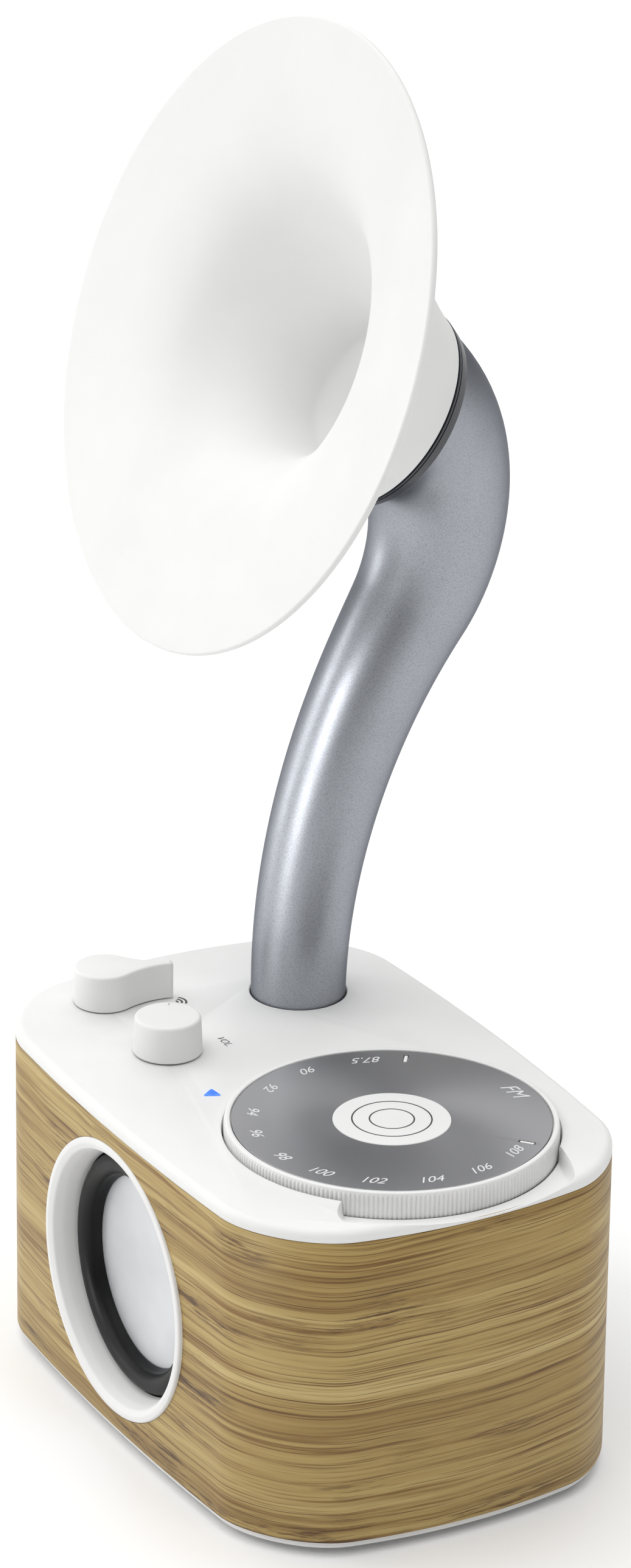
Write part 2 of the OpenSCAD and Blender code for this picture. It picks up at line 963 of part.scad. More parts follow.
// Rotation from the pitch point to where an involute of the base circle meets radius r
function involute_turn(base_r, r) =
    let (a = acos(min(1, base_r / r)))
    tan(a) * 180 / PI - a;

module tuning_gear() {
    base_r = gear_r * cos(20);
    tip_r = gear_r + gear_module;
    root_r = gear_r - 1.25 * gear_module;
    backlash = 0.25;
    half_tooth = 90 / gear_teeth - backlash + involute_turn(base_r, gear_r);
    flank = [root_r, base_r, gear_r, tip_r - 0.1];
    difference() {
        translate([0, 0, gear_z])
            linear_extrude(gear_h)
                polygon([for (i = [0:gear_teeth - 1], k = [0:7])
                    let (r = flank[k < 4 ? k : 7 - k])
                    let (half = half_tooth - involute_turn(base_r, max(r, base_r)))
                    let (a = 360 * i / gear_teeth + (k < 4 ? -half : half))
                    [r * cos(a), r * sin(a)]]);
        rod(spindle_r, gear_z - cut, gear_z + gear_h + cut);
    }
}

module dial_gear() {
    color([0.9, 0.88, 0.8])
    at_dial()
        tuning_gear();
}

module tuner_gear() {
    color([0.9, 0.88, 0.8])
    translate([tuner_x, dial_y, 0])
        rotate(180 / gear_teeth)
            tuning_gear();
}

module tuner_shaft() {
    color([0.7, 0.7, 0.72])
    translate([tuner_x, dial_y, 0])
        rod(spindle_r, board_top + 3, gear_z + gear_h + 1);
}

// ---- Knobs ----

module knob_cavities() {
    rod(7.2, knob_z - cut, knob_z + 2.8);
    rod(shaft_r, knob_z, knob_z + 9);
}

module volume_knob() {
    color([0.95, 0.95, 0.94])
    translate([volume_x, volume_y, 0])
        difference() {
            rotate_extrude($fn = 96)
                polygon([[0, knob_z], [volume_r, knob_z], [volume_r - 0.6, knob_z + knob_h - 0.9],
                    [volume_r - 0.9, knob_z + knob_h - 0.2], [volume_r - 1.4, knob_z + knob_h],
                    [0, knob_z + knob_h]]);
            knob_cavities();
            rotate(150)
                translate([volume_r - 4.4, -0.3, knob_z + knob_h - 0.4])
                    cube([2.4, 0.6, cut]);
        }
}

module volume_shaft() {
    color([0.7, 0.7, 0.72])
    translate([volume_x, volume_y, 0])
        rod(shaft_r, pot_z + 3.5, knob_z + 9);
}

// Half width of the pointer at distance x from the knob's axis
function pointer_half(x) =
    pointer_tip + (sqrt(pow(source_r, 2) - pow(pointer_root, 2)) - pointer_tip)
    * pow((pointer_reach - x) / (pointer_reach - pointer_root), 2);

module source_knob() {
    reach = pointer_reach - pointer_tip;
    start = pointer_root - 1;
    stations = [for (i = [0:10]) start + (reach - start) * i / 10];
    color([0.95, 0.95, 0.94])
    translate([source_x, source_y, 0])
        difference() {
            union() {
                rod(source_r, knob_z, knob_z + knob_h);
                rotate(pointer_angle)
                    translate([0, 0, knob_z])
                        linear_extrude(knob_h)
                            polygon(concat(
                                [for (x = stations) [x, pointer_half(x)]],
                                [[pointer_reach, 0.8], [pointer_reach, -0.8]],
                                [for (i = [10:-1:0]) [stations[i], -pointer_half(stations[i])]]
                            ));
            }
            knob_cavities();
        }
}

module source_shaft() {
    color([0.7, 0.7, 0.72])
    translate([source_x, source_y, 0])
        rod(shaft_r, pot_z + 3.5, knob_z + 9);
}

// ---- Horn ----

// Outer radius of the neck: part 0 is the lower curve and part 1 the upper one
function neck_outer(part, t) = part == 0
    ? neck_r + (bend_r - neck_r) * pow(t, 1.1)
    : bend_r + (neck_end_r - bend_r) * (0.5 * t + 0.5 * pow(t, 4.5));

function neck_hoops(inset) = concat(
    [hoop([horn_x, neck_y, neck_bottom_z], [0, 0, 1], neck_r - inset, neck_sides)],
    [for (i = [0:14]) let (t = i / 14) hoop(curve_point(neck_low_curve, t),
        curve_slope(neck_low_curve, t), neck_outer(0, t) - inset, neck_sides)],
    [for (i = [1:9]) let (t = i / 9) hoop(curve_point(neck_high_curve, t),
        curve_slope(neck_high_curve, t), neck_outer(1, t) - inset, neck_sides)]
);

function reversed(list) = [for (i = [len(list) - 1:-1:0]) list[i]];

module horn_neck() {
    color([0.6, 0.61, 0.63])
    shell_sweep(concat(neck_hoops(0), reversed(neck_hoops(neck_wall))), neck_sides);
}

module neck_lock_ring() {
    color([0.6, 0.6, 0.62])
    translate([horn_x, neck_y, 0])
        difference() {
            tube(22, neck_r, skin_z - 4, skin_z);
            for (a = [0, 120, 240])
                rotate(a)
                    translate([19, 0, 0])
                        rod(1.25, skin_z - 5, skin_z + cut);
        }
}

module neck_screws() {
    color([0.6, 0.6, 0.62])
    translate([horn_x, neck_y, skin_z - 4])
        for (a = [0, 120, 240])
            rotate(a)
                translate([19, 0, 0])
                    screw(1.25, 5.6, 2.4, 1.5);
}

module throat_ring() {
    color([0.12, 0.12, 0.15])
    on_horn_axis()
        difference() {
            rotate_extrude($fn = 96)
                polygon([[22.9, -3], [25.8, -3], [25.8, 0], [ring_r - 0.5, 0], [ring_r, 0.5],
                    [bell_back_r, ring_len - 0.8], [bell_back_r - 0.7, ring_len],
                    [29.2, ring_len], [29.2, 3], [22.9, 3]]);
            for (a = [45:90:315])
                rotate(a)
                    translate([26, 0, 0])
                        rod(1.2, 0.5, 4);
        }
}

// Radii of the bell's outer and inner faces at t, from 0 at its throat to 1 at its mouth
function bell_outer(t) =
    bell_back_r + (bell_r - 0.8 - bell_back_r) * (0.38 * t + 0.62 * pow(t, 12));
function bell_inner(t) =
    bell_throat_r + (bell_r - 0.8 - bell_throat_r) * (0.22 * t + 0.27 * t * t + 0.51 * pow(t, 20))
        - pinch * pow(max(0, 1 - t / pinch_end), 2);

function bell_hoop(t, r, shift) =
    let (d = curve_slope(bell_curve, t))
    hoop(curve_point(bell_curve, t) + shift * d, d, r, bell_sides);

// Steps crowd towards the mouth, where the bell opens fastest
bell_steps = [for (i = [0:14]) 1 - pow(1 - i / 14, 1.7)];
pinch_steps = [for (i = [0:3]) funnel_start + (pinch_end - funnel_start) * i / 4];
funnel_steps = concat(pinch_steps, [for (i = [0:16]) 1 - (1 - pinch_end) * pow(1 - i / 16, 1.8)]);
hollow_steps = concat(pinch_steps, [for (i = [0:5]) pinch_end + (hollow_end - pinch_end) * i / 5]);

// An outer skirt and an inner funnel that meet behind the rim, with a hollow between them
module horn_bell() {
    color([0.95, 0.95, 0.94])
    shell_sweep(concat(
        [for (t = bell_steps) bell_hoop(t, bell_outer(t), -lip_t * t)],
        [bell_hoop(1, bell_r, 0.7 - lip_t), bell_hoop(1, bell_r, -0.7)],
        reversed([for (t = funnel_steps) bell_hoop(t, bell_inner(t), 0)]),
        [for (t = hollow_steps) bell_hoop(t, bell_inner(t) + bell_wall, 0)],
        reversed([for (t = concat(0, hollow_steps))
            bell_hoop(t, bell_outer(t) - bell_wall, -lip_t * t)])
    ), bell_sides);
}

// ---- Horn driver ----

module horn_driver_frame() {
    color([0.2, 0.2, 0.22])
    on_horn_axis()
        difference() {
            rotate_extrude()
                polygon([[21, 3], [21, 4.8], [29, 4.8], [29, 3], [22.5, 3], [22.5, -6],
                    [8.4, -6], [8.4, -4.8], [21, -4.8]]);
            for (a = [45:90:315])
                rotate(a)
                    translate([26, 0, 0])
                        rod(1.2, 2, 6);
        }
}

module horn_driver_yoke() {
    color([0.55, 0.55, 0.57])
    on_horn_axis() {
        tube(15, 8.3, -8, -6);
        rod(15, -15, -13);
        rod(6.9, -14, -6);
    }
}

module horn_driver_magnet() {
    color([0.2, 0.2, 0.21])
    on_horn_axis()
        tube(16, 9.5, -13, -8);
}

module horn_driver_surround() {
    color([0.1, 0.1, 0.11])
    on_horn_axis()
        rotate_extrude()
            translate([20, 4.8])
                difference() {
                    union() {
                        circle(r = 2.4, $fn = 40);
                        translate([2, 0])
                            square([1.5, 0.4]);
                    }
                    circle(r = 2, $fn = 40);
                    translate([-5, -5])
                        square([10, 5]);
                }
}

module horn_driver_cone() {
    color([0.3, 0.3, 0.32])
    on_horn_axis() {
        rotate_extrude()
            polygon([[7.25, -11], [7.85, -11], [7.85, -2.6], [17.4, 3.6], [17.4, 4.8],
                [16.6, 4.8], [7.25, -1.2]]);
        rotate_extrude()
            polygon([[0, 0.6], [4, 0.1], [7.3, -1.4], [7.3, -2.1], [4, -0.6], [0, -0.1]]);
    }
}

module horn_driver_screws() {
    color([0.6, 0.6, 0.62])
    on_horn_axis()
        for (a = [45:90:315])
            rotate(a)
                translate([26, 0, 4.8])
                    mirror([0, 0, 1])
                        screw(1.2, 4, 2.1, 1);
}

// The lead runs from the horn driver down the neck's centre line to the board
lead_drop = [[-58, 28, 97], [-54, 26, 92], [-49, 25, 87], [-45, 24.5, 83], [-43, 24, board_top]];
lead_points = concat(
    [for (i = [0:6]) curve_point(neck_high_curve, 0.6 - 0.6 * i / 6)],
    [for (i = [1:14]) curve_point(neck_low_curve, 1 - i / 14)],
    lead_drop
);

module horn_lead() {
    last = len(lead_points) - 1;
    color([0.5, 0.1, 0.1])
    rod_sweep([for (i = [0:last])
        hoop(lead_points[i], unit(lead_points[min(i + 1, last)] - lead_points[max(i - 1, 0)]),
            1.1, 8)], 8);
}

wood_sleeve();
top_cover();
base_plate();
feet();
base_screws();
cover_screws();
port_ring();
woofer_gasket();
woofer_frame();
woofer_surround();
woofer_spider();
woofer_top_plate();
woofer_magnet();
woofer_pole();
woofer_screws();
woofer_disc();
woofer_cone();
woofer_coil();
rear_panel();
rear_screws();
dc_jack();
aux_jack();
main_board();
board_standoffs();
board_screws();
amplifier_chip();
heat_sink();
board_capacitors();
radio_module();
tuning_pot();
volume_pot();
source_switch();
control_nuts();
light_window();
light_board();
dial_bush();
dial_wheel();
dial_face();
dial_centre_disc();
dial_spindle();
dial_clip();
dial_gear();
tuner_gear();
tuner_shaft();
volume_knob();
volume_shaft();
source_knob();
source_shaft();
horn_neck();
neck_lock_ring();
neck_screws();
throat_ring();
horn_bell();
horn_driver_frame();
horn_driver_yoke();
horn_driver_magnet();
horn_driver_surround();
horn_driver_cone();
horn_driver_screws();
horn_lead();
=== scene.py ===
"""Looks of the horn loudspeaker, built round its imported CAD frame.

Lengths in the functions are millimetres in the frame of the CAD, and MM turns them into metres.
"""

import json
import math

import bmesh
import bpy
from mathutils import Matrix, Vector


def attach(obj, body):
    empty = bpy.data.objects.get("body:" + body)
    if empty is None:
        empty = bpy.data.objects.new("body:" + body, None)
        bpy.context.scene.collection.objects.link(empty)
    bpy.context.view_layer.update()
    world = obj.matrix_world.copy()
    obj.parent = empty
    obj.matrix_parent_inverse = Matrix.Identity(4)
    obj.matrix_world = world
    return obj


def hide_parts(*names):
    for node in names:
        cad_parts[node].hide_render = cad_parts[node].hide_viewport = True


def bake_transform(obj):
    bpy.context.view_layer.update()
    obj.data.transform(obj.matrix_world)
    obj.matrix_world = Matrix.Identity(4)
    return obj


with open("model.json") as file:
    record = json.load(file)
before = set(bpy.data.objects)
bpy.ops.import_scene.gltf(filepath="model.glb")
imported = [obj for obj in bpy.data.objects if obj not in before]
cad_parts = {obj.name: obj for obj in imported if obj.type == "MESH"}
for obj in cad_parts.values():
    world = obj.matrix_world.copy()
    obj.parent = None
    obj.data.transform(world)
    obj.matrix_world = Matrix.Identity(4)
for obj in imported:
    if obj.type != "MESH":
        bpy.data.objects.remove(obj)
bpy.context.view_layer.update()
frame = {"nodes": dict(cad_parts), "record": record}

MM = 0.001

# A turned profile stops just short of its axis, and cutting tools end well above the cabinet
AXIS_R = 0.01
TOOL_TOP = 125.0

# Levels of the cabinet
RIM_Z = 2.5
SLEEVE_Z = 5.0
LEDGE_Z = 103.8
COVER_Z = 108.0
TOP_Z = 112.1
SKIN_Z = 109.4
TUB_Z = 102.2

# Plan of the cabinet
CORE_W = 188.8
CORE_D = 131.0
CORNER_R = 27.0
SIDE_BOW = 11.0
FRONT_BOW = 4.6
SIDE_WALL = 5.5
FRONT_WALL = 9.5
COVER_LIP = 2.2
RIM_INSET = 1.2

# Dial
DIAL = (44.4, 5.2)
WELL_R = 53.1
WELL_Z = 104.7
WHEEL_Z = 106.1
RIB_TOP_Z = 114.1
WHEEL_R = 52.5
RIB_DEPTH = 0.6
RIB_COUNT = 228
FACE_R = 50.5
FACE_Z = 115.1
FACE_T = 1.1
CENTRE_R = 18.55
NUMERAL_R = 43.6
SLOT_R = 44.4
SLOT_ANGLES = (144.8, 40.8)
NOTCH_Z = 106.85
NOTCH_START = -46.2
NOTCH_END = 48.3
NOTCH_BACK = (35.6, 40.0)
NOTCH_BACK_SLOPE = 0.2
SCOOP_REACH = 8.0
SCOOP_RISE = 2.0

# Controls
KNOB_Z = 112.6
KNOB_H = 12.2
VOLUME = (-37.1, -30.9)
VOLUME_R = 11.2
SOURCE = (-80.3, -31.5)
SOURCE_R = 10.0
POINTER_ROOT = 7.0
POINTER_REACH = 22.5
POINTER_TIP = 1.4
POINTER_ANGLE = 72.0
LIGHT = (-3.0, -33.0)

# Bass driver, distances forwards along its axis
DRIVER_Z = 56.5
PORT_R = 46.1
PORT_FACE = 70.5
ROLL_R = 35.7
ROLL_AT = 59.9

# Horn
HORN_X = -59.5
NECK_Y = 28.9
NECK_R = 15.6
NECK_END_R = 31.8
BEND_R = 19.85
NECK_WALL = 2.0
RING_BACK = Vector((HORN_X, 61.8, 306.2))
RING_LENGTH = 6.1
THROAT_TILT = 33.4
MOUTH = Vector((HORN_X, 5.2, 340.9))
MOUTH_TILT = 20.4
BELL_R = 101.2
BELL_BACK_R = 34.3
BELL_THROAT_R = 20.1
BELL_WALL = 2.2
LIP_T = 2.2
FUNNEL_START = 0.03
HOLLOW_END = 0.86
PINCH = 10.0
PINCH_END = 0.12


# ---- Camera ----

CAMERA_AT = Vector((1.52885, -0.85228, 0.94334))
CAMERA_AZIMUTH = math.radians(60.83)
CAMERA_PITCH = math.radians(22.66)
CAMERA_ROLL = math.radians(0.788)
CAMERA_LENS = 140.25


def add_camera():
    data = bpy.data.cameras.new("camera")
    data.lens = CAMERA_LENS
    data.sensor_width = 36.0
    across = Vector((math.cos(CAMERA_AZIMUTH), math.sin(CAMERA_AZIMUTH), 0.0))
    back = Vector((
        math.sin(CAMERA_AZIMUTH) * math.cos(CAMERA_PITCH),
        -math.cos(CAMERA_AZIMUTH) * math.cos(CAMERA_PITCH),
        math.sin(CAMERA_PITCH),
    ))
    up = back.cross(across)
    right = math.cos(CAMERA_ROLL) * across + math.sin(CAMERA_ROLL) * up
    top = math.cos(CAMERA_ROLL) * up - math.sin(CAMERA_ROLL) * across
    turn = Matrix((right, top, back)).transposed()
    camera = bpy.data.objects.new("camera", data)
    camera.matrix_world = Matrix.Translation(CAMERA_AT) @ turn.to_4x4()
    bpy.context.scene.collection.objects.link(camera)
    bpy.context.scene.camera = camera


add_camera()


# ---- Shapes ----


def shade(obj, angle=38):
    """Smooth shading, with edges sharper than the angle left crisp."""
    mesh = obj.data
    mesh.polygons.foreach_set("use_smooth", [True] * len(mesh.polygons))
    mesh.set_sharp_from_angle(angle=math.radians(angle))


def piece(name, points, faces, angle=38):
    """A closed mesh object from points in millimetres."""
    mesh = bpy.data.meshes.new(name)
    mesh.from_pydata([tuple(c * MM for c in p) for p in points], [], faces)
    form = bmesh.new()
    form.from_mesh(mesh)
    bmesh.ops.recalc_face_normals(form, faces=form.faces)
    form.to_mesh(mesh)
    form.free()
    obj = bpy.data.objects.new(name, mesh)
    bpy.context.scene.collection.objects.link(obj)
    shade(obj, angle)
    return obj


def loft(name, rings, closed=False, angle=38):
    """Skin over rings of equal length: joined end to end if closed, or else capped at both ends."""
    count = len(rings[0])
    faces = []
    spans = len(rings) if closed else len(rings) - 1
    for k in range(spans):
        low = k * count
        high = (k + 1) % len(rings) * count
        for i in range(count):
            j = (i + 1) % count
            faces.append((low + i, low + j, high + j, high + i))
    if not closed:
        faces.append(tuple(range(count)))
        faces.append(tuple(range((len(rings) - 1) * count, len(rings) * count)))
    return piece(name, [p for ring in rings for p in ring], faces, angle)


def circle(radius, height, steps, centre=(0.0, 0.0)):
    return [
        (
            centre[0] + radius * math.cos(math.tau * i / steps),
            centre[1] + radius * math.sin(math.tau * i / steps),
            height,
        )
        for i in range(steps)
    ]


def lathe(name, profile, place=None, closed=False, steps=160, angle=38):
    """A profile of (radius, height) turned about +Z, then put in place."""
    rings = [circle(r, h, steps) for r, h in profile]
    if place is not None:
        rings = [[place @ Vector(p) for p in ring] for ring in rings]
    return loft(name, rings, closed, angle)


def rounded(corners, steps=6, wrap=True):
    """Replaces each corner (a, b, radius) of an outline by a short curve."""
    out = []
    count = len(corners)
    for i in range(count):
        a, b, radius = corners[i]
        end = not wrap and i in (0, count - 1)
        if radius == 0 or end:
            out.append((a, b))
            continue
        here = Vector((a, b))
        before = Vector(corners[i - 1][:2]) - here
        after = Vector(corners[(i + 1) % count][:2]) - here
        reach = radius / math.tan(before.angle(after) / 2)
        reach = min(reach, 0.49 * before.length, 0.49 * after.length)
        start = here + reach * before.normalized()
        stop = here + reach * after.normalized()
        for k in range(steps + 1):
            t = k / steps
            point = (1 - t) ** 2 * start + 2 * t * (1 - t) * here + t * t * stop
            out.append((point.x, point.y))
    return out


def capsule(half_long, half_wide, radius):
    """A small rounded bar's outline round the origin, long in X."""
    a = half_long
    b = half_wide
    return rounded([(-a, -b, radius), (a, -b, radius), (a, b, radius), (-a, b, radius)], 4)


def prism(name, outline, low, high, edge=0.0, angle=38):
    """An upright solid over a plan outline, with its upper edge rounded by edge."""
    rings = [[(x, y, low) for x, y in outline], [(x, y, high - edge) for x, y in outline]]
    if edge > 0:
        for k in range(1, 7):
            turn = math.radians(15 * k)
            inset = edge * (1 - math.cos(turn))
            rings.append([
                (*shrunk(outline, i, inset), high - edge + edge * math.sin(turn))
                for i in range(len(outline))
            ])
    return loft(name, rings, angle=angle)


def shrunk(outline, i, inset):
    """Point i of an anticlockwise outline, moved inwards square to the outline."""
    before = Vector(outline[i - 1])
    after = Vector(outline[(i + 1) % len(outline)])
    along = (after - before).normalized()
    return outline[i][0] - along.y * inset, outline[i][1] + along.x * inset


def bake(obj):
    """Turns an object's modifiers into its mesh."""
    graph = bpy.context.evaluated_depsgraph_get()
    mesh = bpy.data.meshes.new_from_object(obj.evaluated_get(graph))
    obj.modifiers.clear()
    obj.data = mesh


def combine(obj, tool, operation="DIFFERENCE"):
    """Cuts the tool out of obj, or joins it on, and removes the tool."""
    change = obj.modifiers.new("combine", "BOOLEAN")
    change.operation = operation
    change.object = tool
    change.solver = "EXACT"
    bake(obj)
    bpy.data.objects.remove(tool)


def soften(obj, width):
    """Small rounded edges over a finished solid."""
    change = obj.modifiers.new("soften", "BEVEL")
    change.width = width * MM
    change.segments = 2
    change.limit_method = "ANGLE"
    change.angle_limit = math.radians(40)
    change.use_clamp_overlap = True
    bake(obj)
    shade(obj, 50)


def settle(obj, body, slot, material, *nodes):
    """Gives a piece its material and its body, and hides the CAD nodes that it stands for; slot is not
    used.
    """
    obj.data.materials.clear()
    obj.data.materials.append(material)
    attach(obj, body)
    if nodes:
        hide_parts(*nodes)


# ---- Plan outline of the cabinet ----


def bowed(x, y, w, d):
    """A point of the plain rounded rectangle, pushed out by the bow of the walls."""
    side = SIDE_BOW * (1 - (2 * y / d) ** 2) * (2 * x / w) ** 2
    front = FRONT_BOW * (1 - (2 * x / w) ** 2) * (2 * y / d) ** 2
    return x + math.copysign(side, x), y + math.copysign(front, y)


def outline(inset_x=0.0, inset_y=None):
    """The cabinet's plan, drawn in by the insets."""
    corner_steps = 20
    side_steps = 24
    inset_y = inset_x if inset_y is None else inset_y
    w = CORE_W - 2 * inset_x
    d = CORE_D - 2 * inset_y
    r = CORNER_R - max(inset_x, inset_y)
    points = []
    for k, (sx, sy) in enumerate(((1, -1), (1, 1), (-1, 1), (-1, -1))):
        for i in range(corner_steps + 1):
            a = math.radians(90 * (k - 1) + 90 * i / corner_steps)
            x = sx * (w / 2 - r) + r * math.cos(a)
            y = sy * (d / 2 - r) + r * math.sin(a)
            points.append((x, y))
    dense = []
    for i, p in enumerate(points):
        dense.append(p)
        if i % (corner_steps + 1) == corner_steps:
            q = points[(i + 1) % len(points)]
            for k in range(1, side_steps):
                t = k / side_steps
                dense.append((p[0] + (q[0] - p[0]) * t, p[1] + (q[1] - p[1]) * t))
    return [bowed(x, y, w, d) for x, y in dense]


def plan_rings(levels):
    """A ring of the cabinet's plan at each (inset_x, inset_y, z)."""
    return [[(x, y, z) for x, y in outline(ix, iy)] for ix, iy, z in levels]


# ---- Cabinet ----

DRIVER_PLACE = Matrix.Translation((0, 0, DRIVER_Z)) @ Matrix.Rotation(math.radians(90), 4, "X")


def box(name, low, high):
    outline_2d = [(low[0], low[1]), (high[0], low[1]), (high[0], high[1]), (low[0], high[1])]
    return prism(name, outline_2d, low[2], high[2])


def make_sleeve():
    levels = [
        (0.5, 0.5, SLEEVE_Z), (0.15, 0.15, SLEEVE_Z + 0.15), (0, 0, SLEEVE_Z + 0.5),
        (0, 0, COVER_Z - 0.35), (0.1, 0.1, COVER_Z - 0.1), (0.35, 0.35, COVER_Z),
        (COVER_LIP, COVER_LIP, COVER_Z), (COVER_LIP, COVER_LIP, LEDGE_Z),
        (SIDE_WALL, FRONT_WALL, LEDGE_Z), (SIDE_WALL, FRONT_WALL, SLEEVE_Z),
    ]
    sleeve = loft("cabinet_sleeve", plan_rings(levels), closed=True)
    port = [(AXIS_R, 50), (50.5, 50), (50.5, 61), (43, 61)]
    port += [(43, 67.6), (46.2, 67.6), (46.2, 74), (AXIS_R, 74)]
    combine(sleeve, lathe("port_tool", port, DRIVER_PLACE))
    combine(sleeve, box("rear_tool", (-62.9, 65.5, 22.1), (62.9, 80, 91.9)))
    combine(sleeve, box("rear_window_tool", (-57, 50, 28), (57, 75, 86)))
    shade(sleeve)
    return sleeve


def scoop_z(x, y):
    """Height of the finger notch's floor: a scoop round the dial, walled at front and back.

    x and y are measured from the dial's axis.
    """
    out = max(0.0, math.hypot(x, y) - WELL_R)
    front = math.hypot(x, y) * (math.atan2(y, x) - math.radians(NOTCH_START))
    rear = NOTCH_BACK[1] - NOTCH_BACK_SLOPE * (x - NOTCH_BACK[0]) - y
    wall = max(0.0, 1 - min(front, rear) / (0.8 + 0.4 * out)) ** 2
    floor = NOTCH_Z + SCOOP_RISE * (out / SCOOP_REACH) ** 1.8
    return min(TOP_Z + 1, floor + (TOP_Z + 1 - NOTCH_Z) * wall)


def notch_tool():
    """What the finger notch takes away: flat above, and the scooped floor below."""
    across = 40
    along = 130
    points = []
    for j in range(along + 1):
        angle = NOTCH_START + (NOTCH_END - NOTCH_START) * (1 - math.cos(math.pi * j / along)) / 2
        for i in range(across + 1):
            radius = WELL_R - 3 + 20 * i / across
            x = radius * math.cos(math.radians(angle))
            y = radius * math.sin(math.radians(angle))
            points.append((DIAL[0] + x, DIAL[1] + y, scoop_z(x, y)))
    row = across + 1
    floor = len(points)
    faces = [
        (j * row + i, j * row + i + 1, (j + 1) * row + i + 1, (j + 1) * row + i)
        for j in range(along) for i in range(across)
    ]
    points += [(p[0], p[1], TOOL_TOP) for p in points]
    faces += [tuple(floor + i for i in reversed(f)) for f in faces]
    rim = list(range(across)) + [j * row + across for j in range(along)]
    rim += [along * row + i for i in range(across, 0, -1)] + [j * row for j in range(along, 0, -1)]
    for a, b in zip(rim, rim[1:] + rim[:1]):
        faces.append((a, b, floor + b, floor + a))
    return piece("notch_tool", points, faces)


def make_cover():
    turn = [math.radians(a) for a in (0, 12, 24, 36, 48, 60, 72, 84, 90)]
    levels = [(9, 9, SKIN_Z), (9, 9, LEDGE_Z + 0.1), (2.5, 2.5, LEDGE_Z + 0.1)]
    levels += [(2.5, 2.5, COVER_Z + 0.05), (0.45, 0.45, COVER_Z + 0.05), (0.1, 0.1, COVER_Z + 0.2)]
    levels += [(0, 0, COVER_Z + 0.5)]
    for a in turn:
        inset = 2.5 * (1 - math.cos(a))
        levels.append((inset, inset, TOP_Z - 2.5 + 2.5 * math.sin(a)))
    cover = loft("cabinet_cover", plan_rings(levels))
    tub = lathe("tub", [(AXIS_R, TUB_Z), (55.1, TUB_Z), (55.1, TOP_Z - 1), (AXIS_R, TOP_Z - 1)], at_dial())
    combine(cover, tub, "UNION")
    block = [p for p in outline(8) if p[0] > 74]
    combine(cover, prism("notch_block", block, 103.2, TOP_Z - 1.2), "UNION")
    well = [(AXIS_R, WELL_Z), (WELL_R - 0.6, WELL_Z), (WELL_R, WELL_Z + 0.6), (WELL_R, TOP_Z - 0.6)]
    well += [(WELL_R + 0.12, TOP_Z - 0.25), (WELL_R + 0.6, TOP_Z)]
    well += [(WELL_R + 0.6, TOOL_TOP), (AXIS_R, TOOL_TOP)]
    combine(cover, lathe("well_tool", well, at_dial(), steps=256))
    combine(cover, notch_tool())
    hole = [(AXIS_R, 95), (15.9, 95), (15.9, TOP_Z - 0.35)]
    hole += [(16.25, TOP_Z), (16.25, TOOL_TOP), (AXIS_R, TOOL_TOP)]
    combine(cover, lathe("neck_tool", hole, Matrix.Translation((HORN_X, NECK_Y, 0)), steps=128))
    for x, y in (VOLUME, SOURCE):
        place = Matrix.Translation((x, y, 0))
        shaft = [(AXIS_R, 100), (3.6, 100), (3.6, TOOL_TOP), (AXIS_R, TOOL_TOP)]
        combine(cover, lathe("shaft_tool", shaft, place, steps=48))
    soften(cover, 0.3)
    return cover


def make_base():
    levels = [
        (RIM_INSET + 1.2, RIM_INSET + 1.2, RIM_Z), (RIM_INSET + 0.5, RIM_INSET + 0.5, RIM_Z + 0.15),
        (RIM_INSET + 0.12, RIM_INSET + 0.12, RIM_Z + 0.55), (RIM_INSET, RIM_INSET, RIM_Z + 1.1),
        (RIM_INSET, RIM_INSET, SLEEVE_Z - 0.1), (SIDE_WALL, FRONT_WALL, SLEEVE_Z - 0.1),
    ]
    return loft("cabinet_base", plan_rings(levels))


def make_port_ring():
    corners = [
        (42.9, 61.0, 0), (42.9, 67.7, 0), (PORT_R, 67.7, 0), (PORT_R, PORT_FACE, 1.5),
        (44.0, PORT_FACE, 0.8), (42.2, 69.6, 1.4), (41.2, 66.5, 3.0), (40.4, 63.0, 3.0),
        (39.9, 60.6, 0.2), (41.4, 60.6, 0), (41.4, 61.0, 0),
    ]
    return lathe("port_bezel", rounded(corners, 8), DRIVER_PLACE, closed=True, steps=256)


def roll_arc(radius, angles):
    turns = [math.radians(a) for a in angles]
    return [(ROLL_R + radius * math.cos(a), ROLL_AT + radius * math.sin(a)) for a in turns]


def make_surround():
    roll = roll_arc(3.7, range(0, 181, 10))
    under = roll_arc(3.1, range(180, -1, -15))
    profile = [(41.0, 59.5), (41.0, 60.3), (39.7, 60.3)] + roll[1:-1]
    profile += [(32.0, 59.2), (31.2, 58.0), (31.2, 57.6), (32.2, 57.6)] + under[1:-1] + [(38.8, 59.5)]
    return lathe("bass_surround", profile, DRIVER_PLACE, closed=True, steps=200)


def make_disc():
    profile = [(AXIS_R, 56.2), (31.6, 56.2), (32.1, 56.5), (32.1, 57.1), (31.8, 57.35), (31.3, 57.4)]
    profile += [(r, 57.4 - 0.25 * (1 - (r / 31.0) ** 2)) for r in (30, 25, 20, 15, 10, 5, AXIS_R)]
    return lathe("bass_disc", profile, DRIVER_PLACE, steps=200)


# ---- Dial ----


def at_dial():
    return Matrix.Translation((DIAL[0], DIAL[1], 0))


def ribbed(radius, depth, z, steps):
    """A circle whose radius swings in and out once for each rib."""
    ring = []
    for i in range(steps):
        turn = math.tau * i / steps
        wave = 0.5 - 0.5 * math.cos(turn * RIB_COUNT)
        r = radius - depth * wave * wave
        ring.append((DIAL[0] + r * math.cos(turn), DIAL[1] + r * math.sin(turn), z))
    return ring


